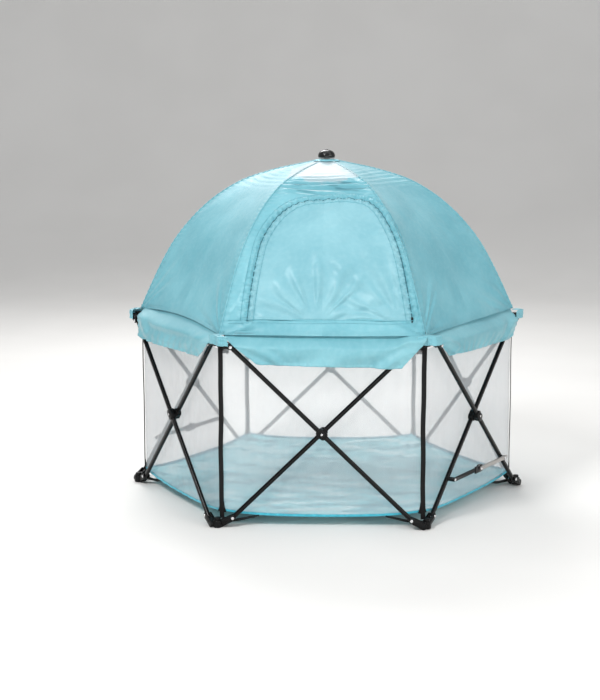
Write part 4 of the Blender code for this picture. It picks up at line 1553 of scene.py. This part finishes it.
def crown_patch():
    """Cloth ring under the knob, over the seams' ends."""
    angle, row = lattice(np.linspace(0, 2 * math.pi, 73), np.arange(10))
    rho = 0.0265 + 0.022 * row / 9
    z = (z_of(arc_at_rho(rho)) + 0.0024 - 0.0012 * (row == 9)
         + 0.0006 * np.sin(6 * angle + 3 * row))
    points = np.stack([rho * np.cos(angle), rho * np.sin(angle), Z_UP + z], -1)
    patch = grid_mesh("crown_patch", points, np.stack([angle * 0.05, rho], -1), SEAM_TAPE,
                      flip=True)
    mount(thicken(patch, 0.0010), "crown")


crown_knob()
crown_patch()


# --------------------------------------------------------------------- stage
def stage_material():
    skin = Surface("studio_floor_pale")
    tone = skin.noise(skin.object_place(), scale=1.2, detail=2.0)
    col = skin.blend((0.80, 0.79, 0.77), over=(0.83, 0.82, 0.80),
                     share=skin.ramp(tone, over=(0.3, 0.7)))
    skin.set(Base_Color=col, Roughness=0.75)
    return skin.material


def studio_floor():
    """A floor that curves up into a wall behind the yard."""
    half_width, front, bend, radius, top = 14, -9, 5, 4, 12
    line = [(front + (bend - front) * k / 8, 0.0) for k in range(9)]
    for k in range(1, 17):
        angle = k / 16 * math.pi / 2
        line.append((bend + radius * math.sin(angle), radius * (1 - math.cos(angle))))
    line.append((bend + radius, top))
    verts = [(x, y, z) for y, z in line for x in (-half_width, half_width)]
    faces = [(k, k + 1, k + 3, k + 2) for k in range(0, len(verts) - 2, 2)]
    mesh = bpy.data.meshes.new("studio_floor")
    mesh.from_pydata(verts, [], faces)
    mesh.update()
    shade(new_object("studio_floor", mesh, stage_material()))


def area(name, at, aim, size, power):
    light = bpy.data.lights.new(name, "AREA")
    light.shape = "RECTANGLE"
    light.size, light.size_y = size
    light.energy = power
    lamp = bpy.data.objects.new(name, light)
    lamp.location = at
    lamp.rotation_euler = (Vector(aim) - Vector(at)).to_track_quat("-Z", "Y").to_euler()
    bpy.context.scene.collection.objects.link(lamp)
    lamp.visible_camera = False


studio_floor()
area("key", at=(-2.2, -3.2, 4.4), aim=(0, 0, 0.6), size=(1.4, 1.4), power=165)
area("fill", at=(3.6, -3.0, 2.4), aim=(0, 0, 0.5), size=(3.0, 3.0), power=76)
area("top", at=(0.2, 0.3, 4.6), aim=(0, 0, 0.8), size=(3.0, 3.0), power=30)
area("back", at=(-0.9, 3.2, 3.9), aim=(0, 0, 1.1), size=(2.2, 1.2), power=135)
area("low", at=(0.4, -4.6, 0.75), aim=(0, 0, 0.25), size=(3.6, 0.7), power=26)

world = bpy.data.worlds.new("studio")
world.use_nodes = True
background = world.node_tree.nodes["Background"]
background.inputs["Color"].default_value = (0.95, 0.96, 0.98, 1)
background.inputs["Strength"].default_value = 0.46
bpy.context.scene.world = world
bpy.context.scene.view_settings.view_transform = "Standard"

CAMERA_AT = (0.154, -5.955, Z_LOW + 1.500)
CAMERA_HEADING = Vector((-0.0258, 0.9997, 0)).normalized()
CAMERA_DIP = math.radians(9.36)

lens = bpy.data.cameras.new("camera")
lens.sensor_width = 36
lens.lens = 83.87
lens.shift_x = -0.0381
lens.shift_y = -0.0169
lens.clip_end = 60
camera = bpy.data.objects.new("camera", lens)
camera.location = CAMERA_AT
view = CAMERA_HEADING * math.cos(CAMERA_DIP) - UP * math.sin(CAMERA_DIP)
camera.rotation_euler = view.to_track_quat("-Z", "Y").to_euler()
bpy.context.scene.collection.objects.link(camera)
bpy.context.scene.camera = camera
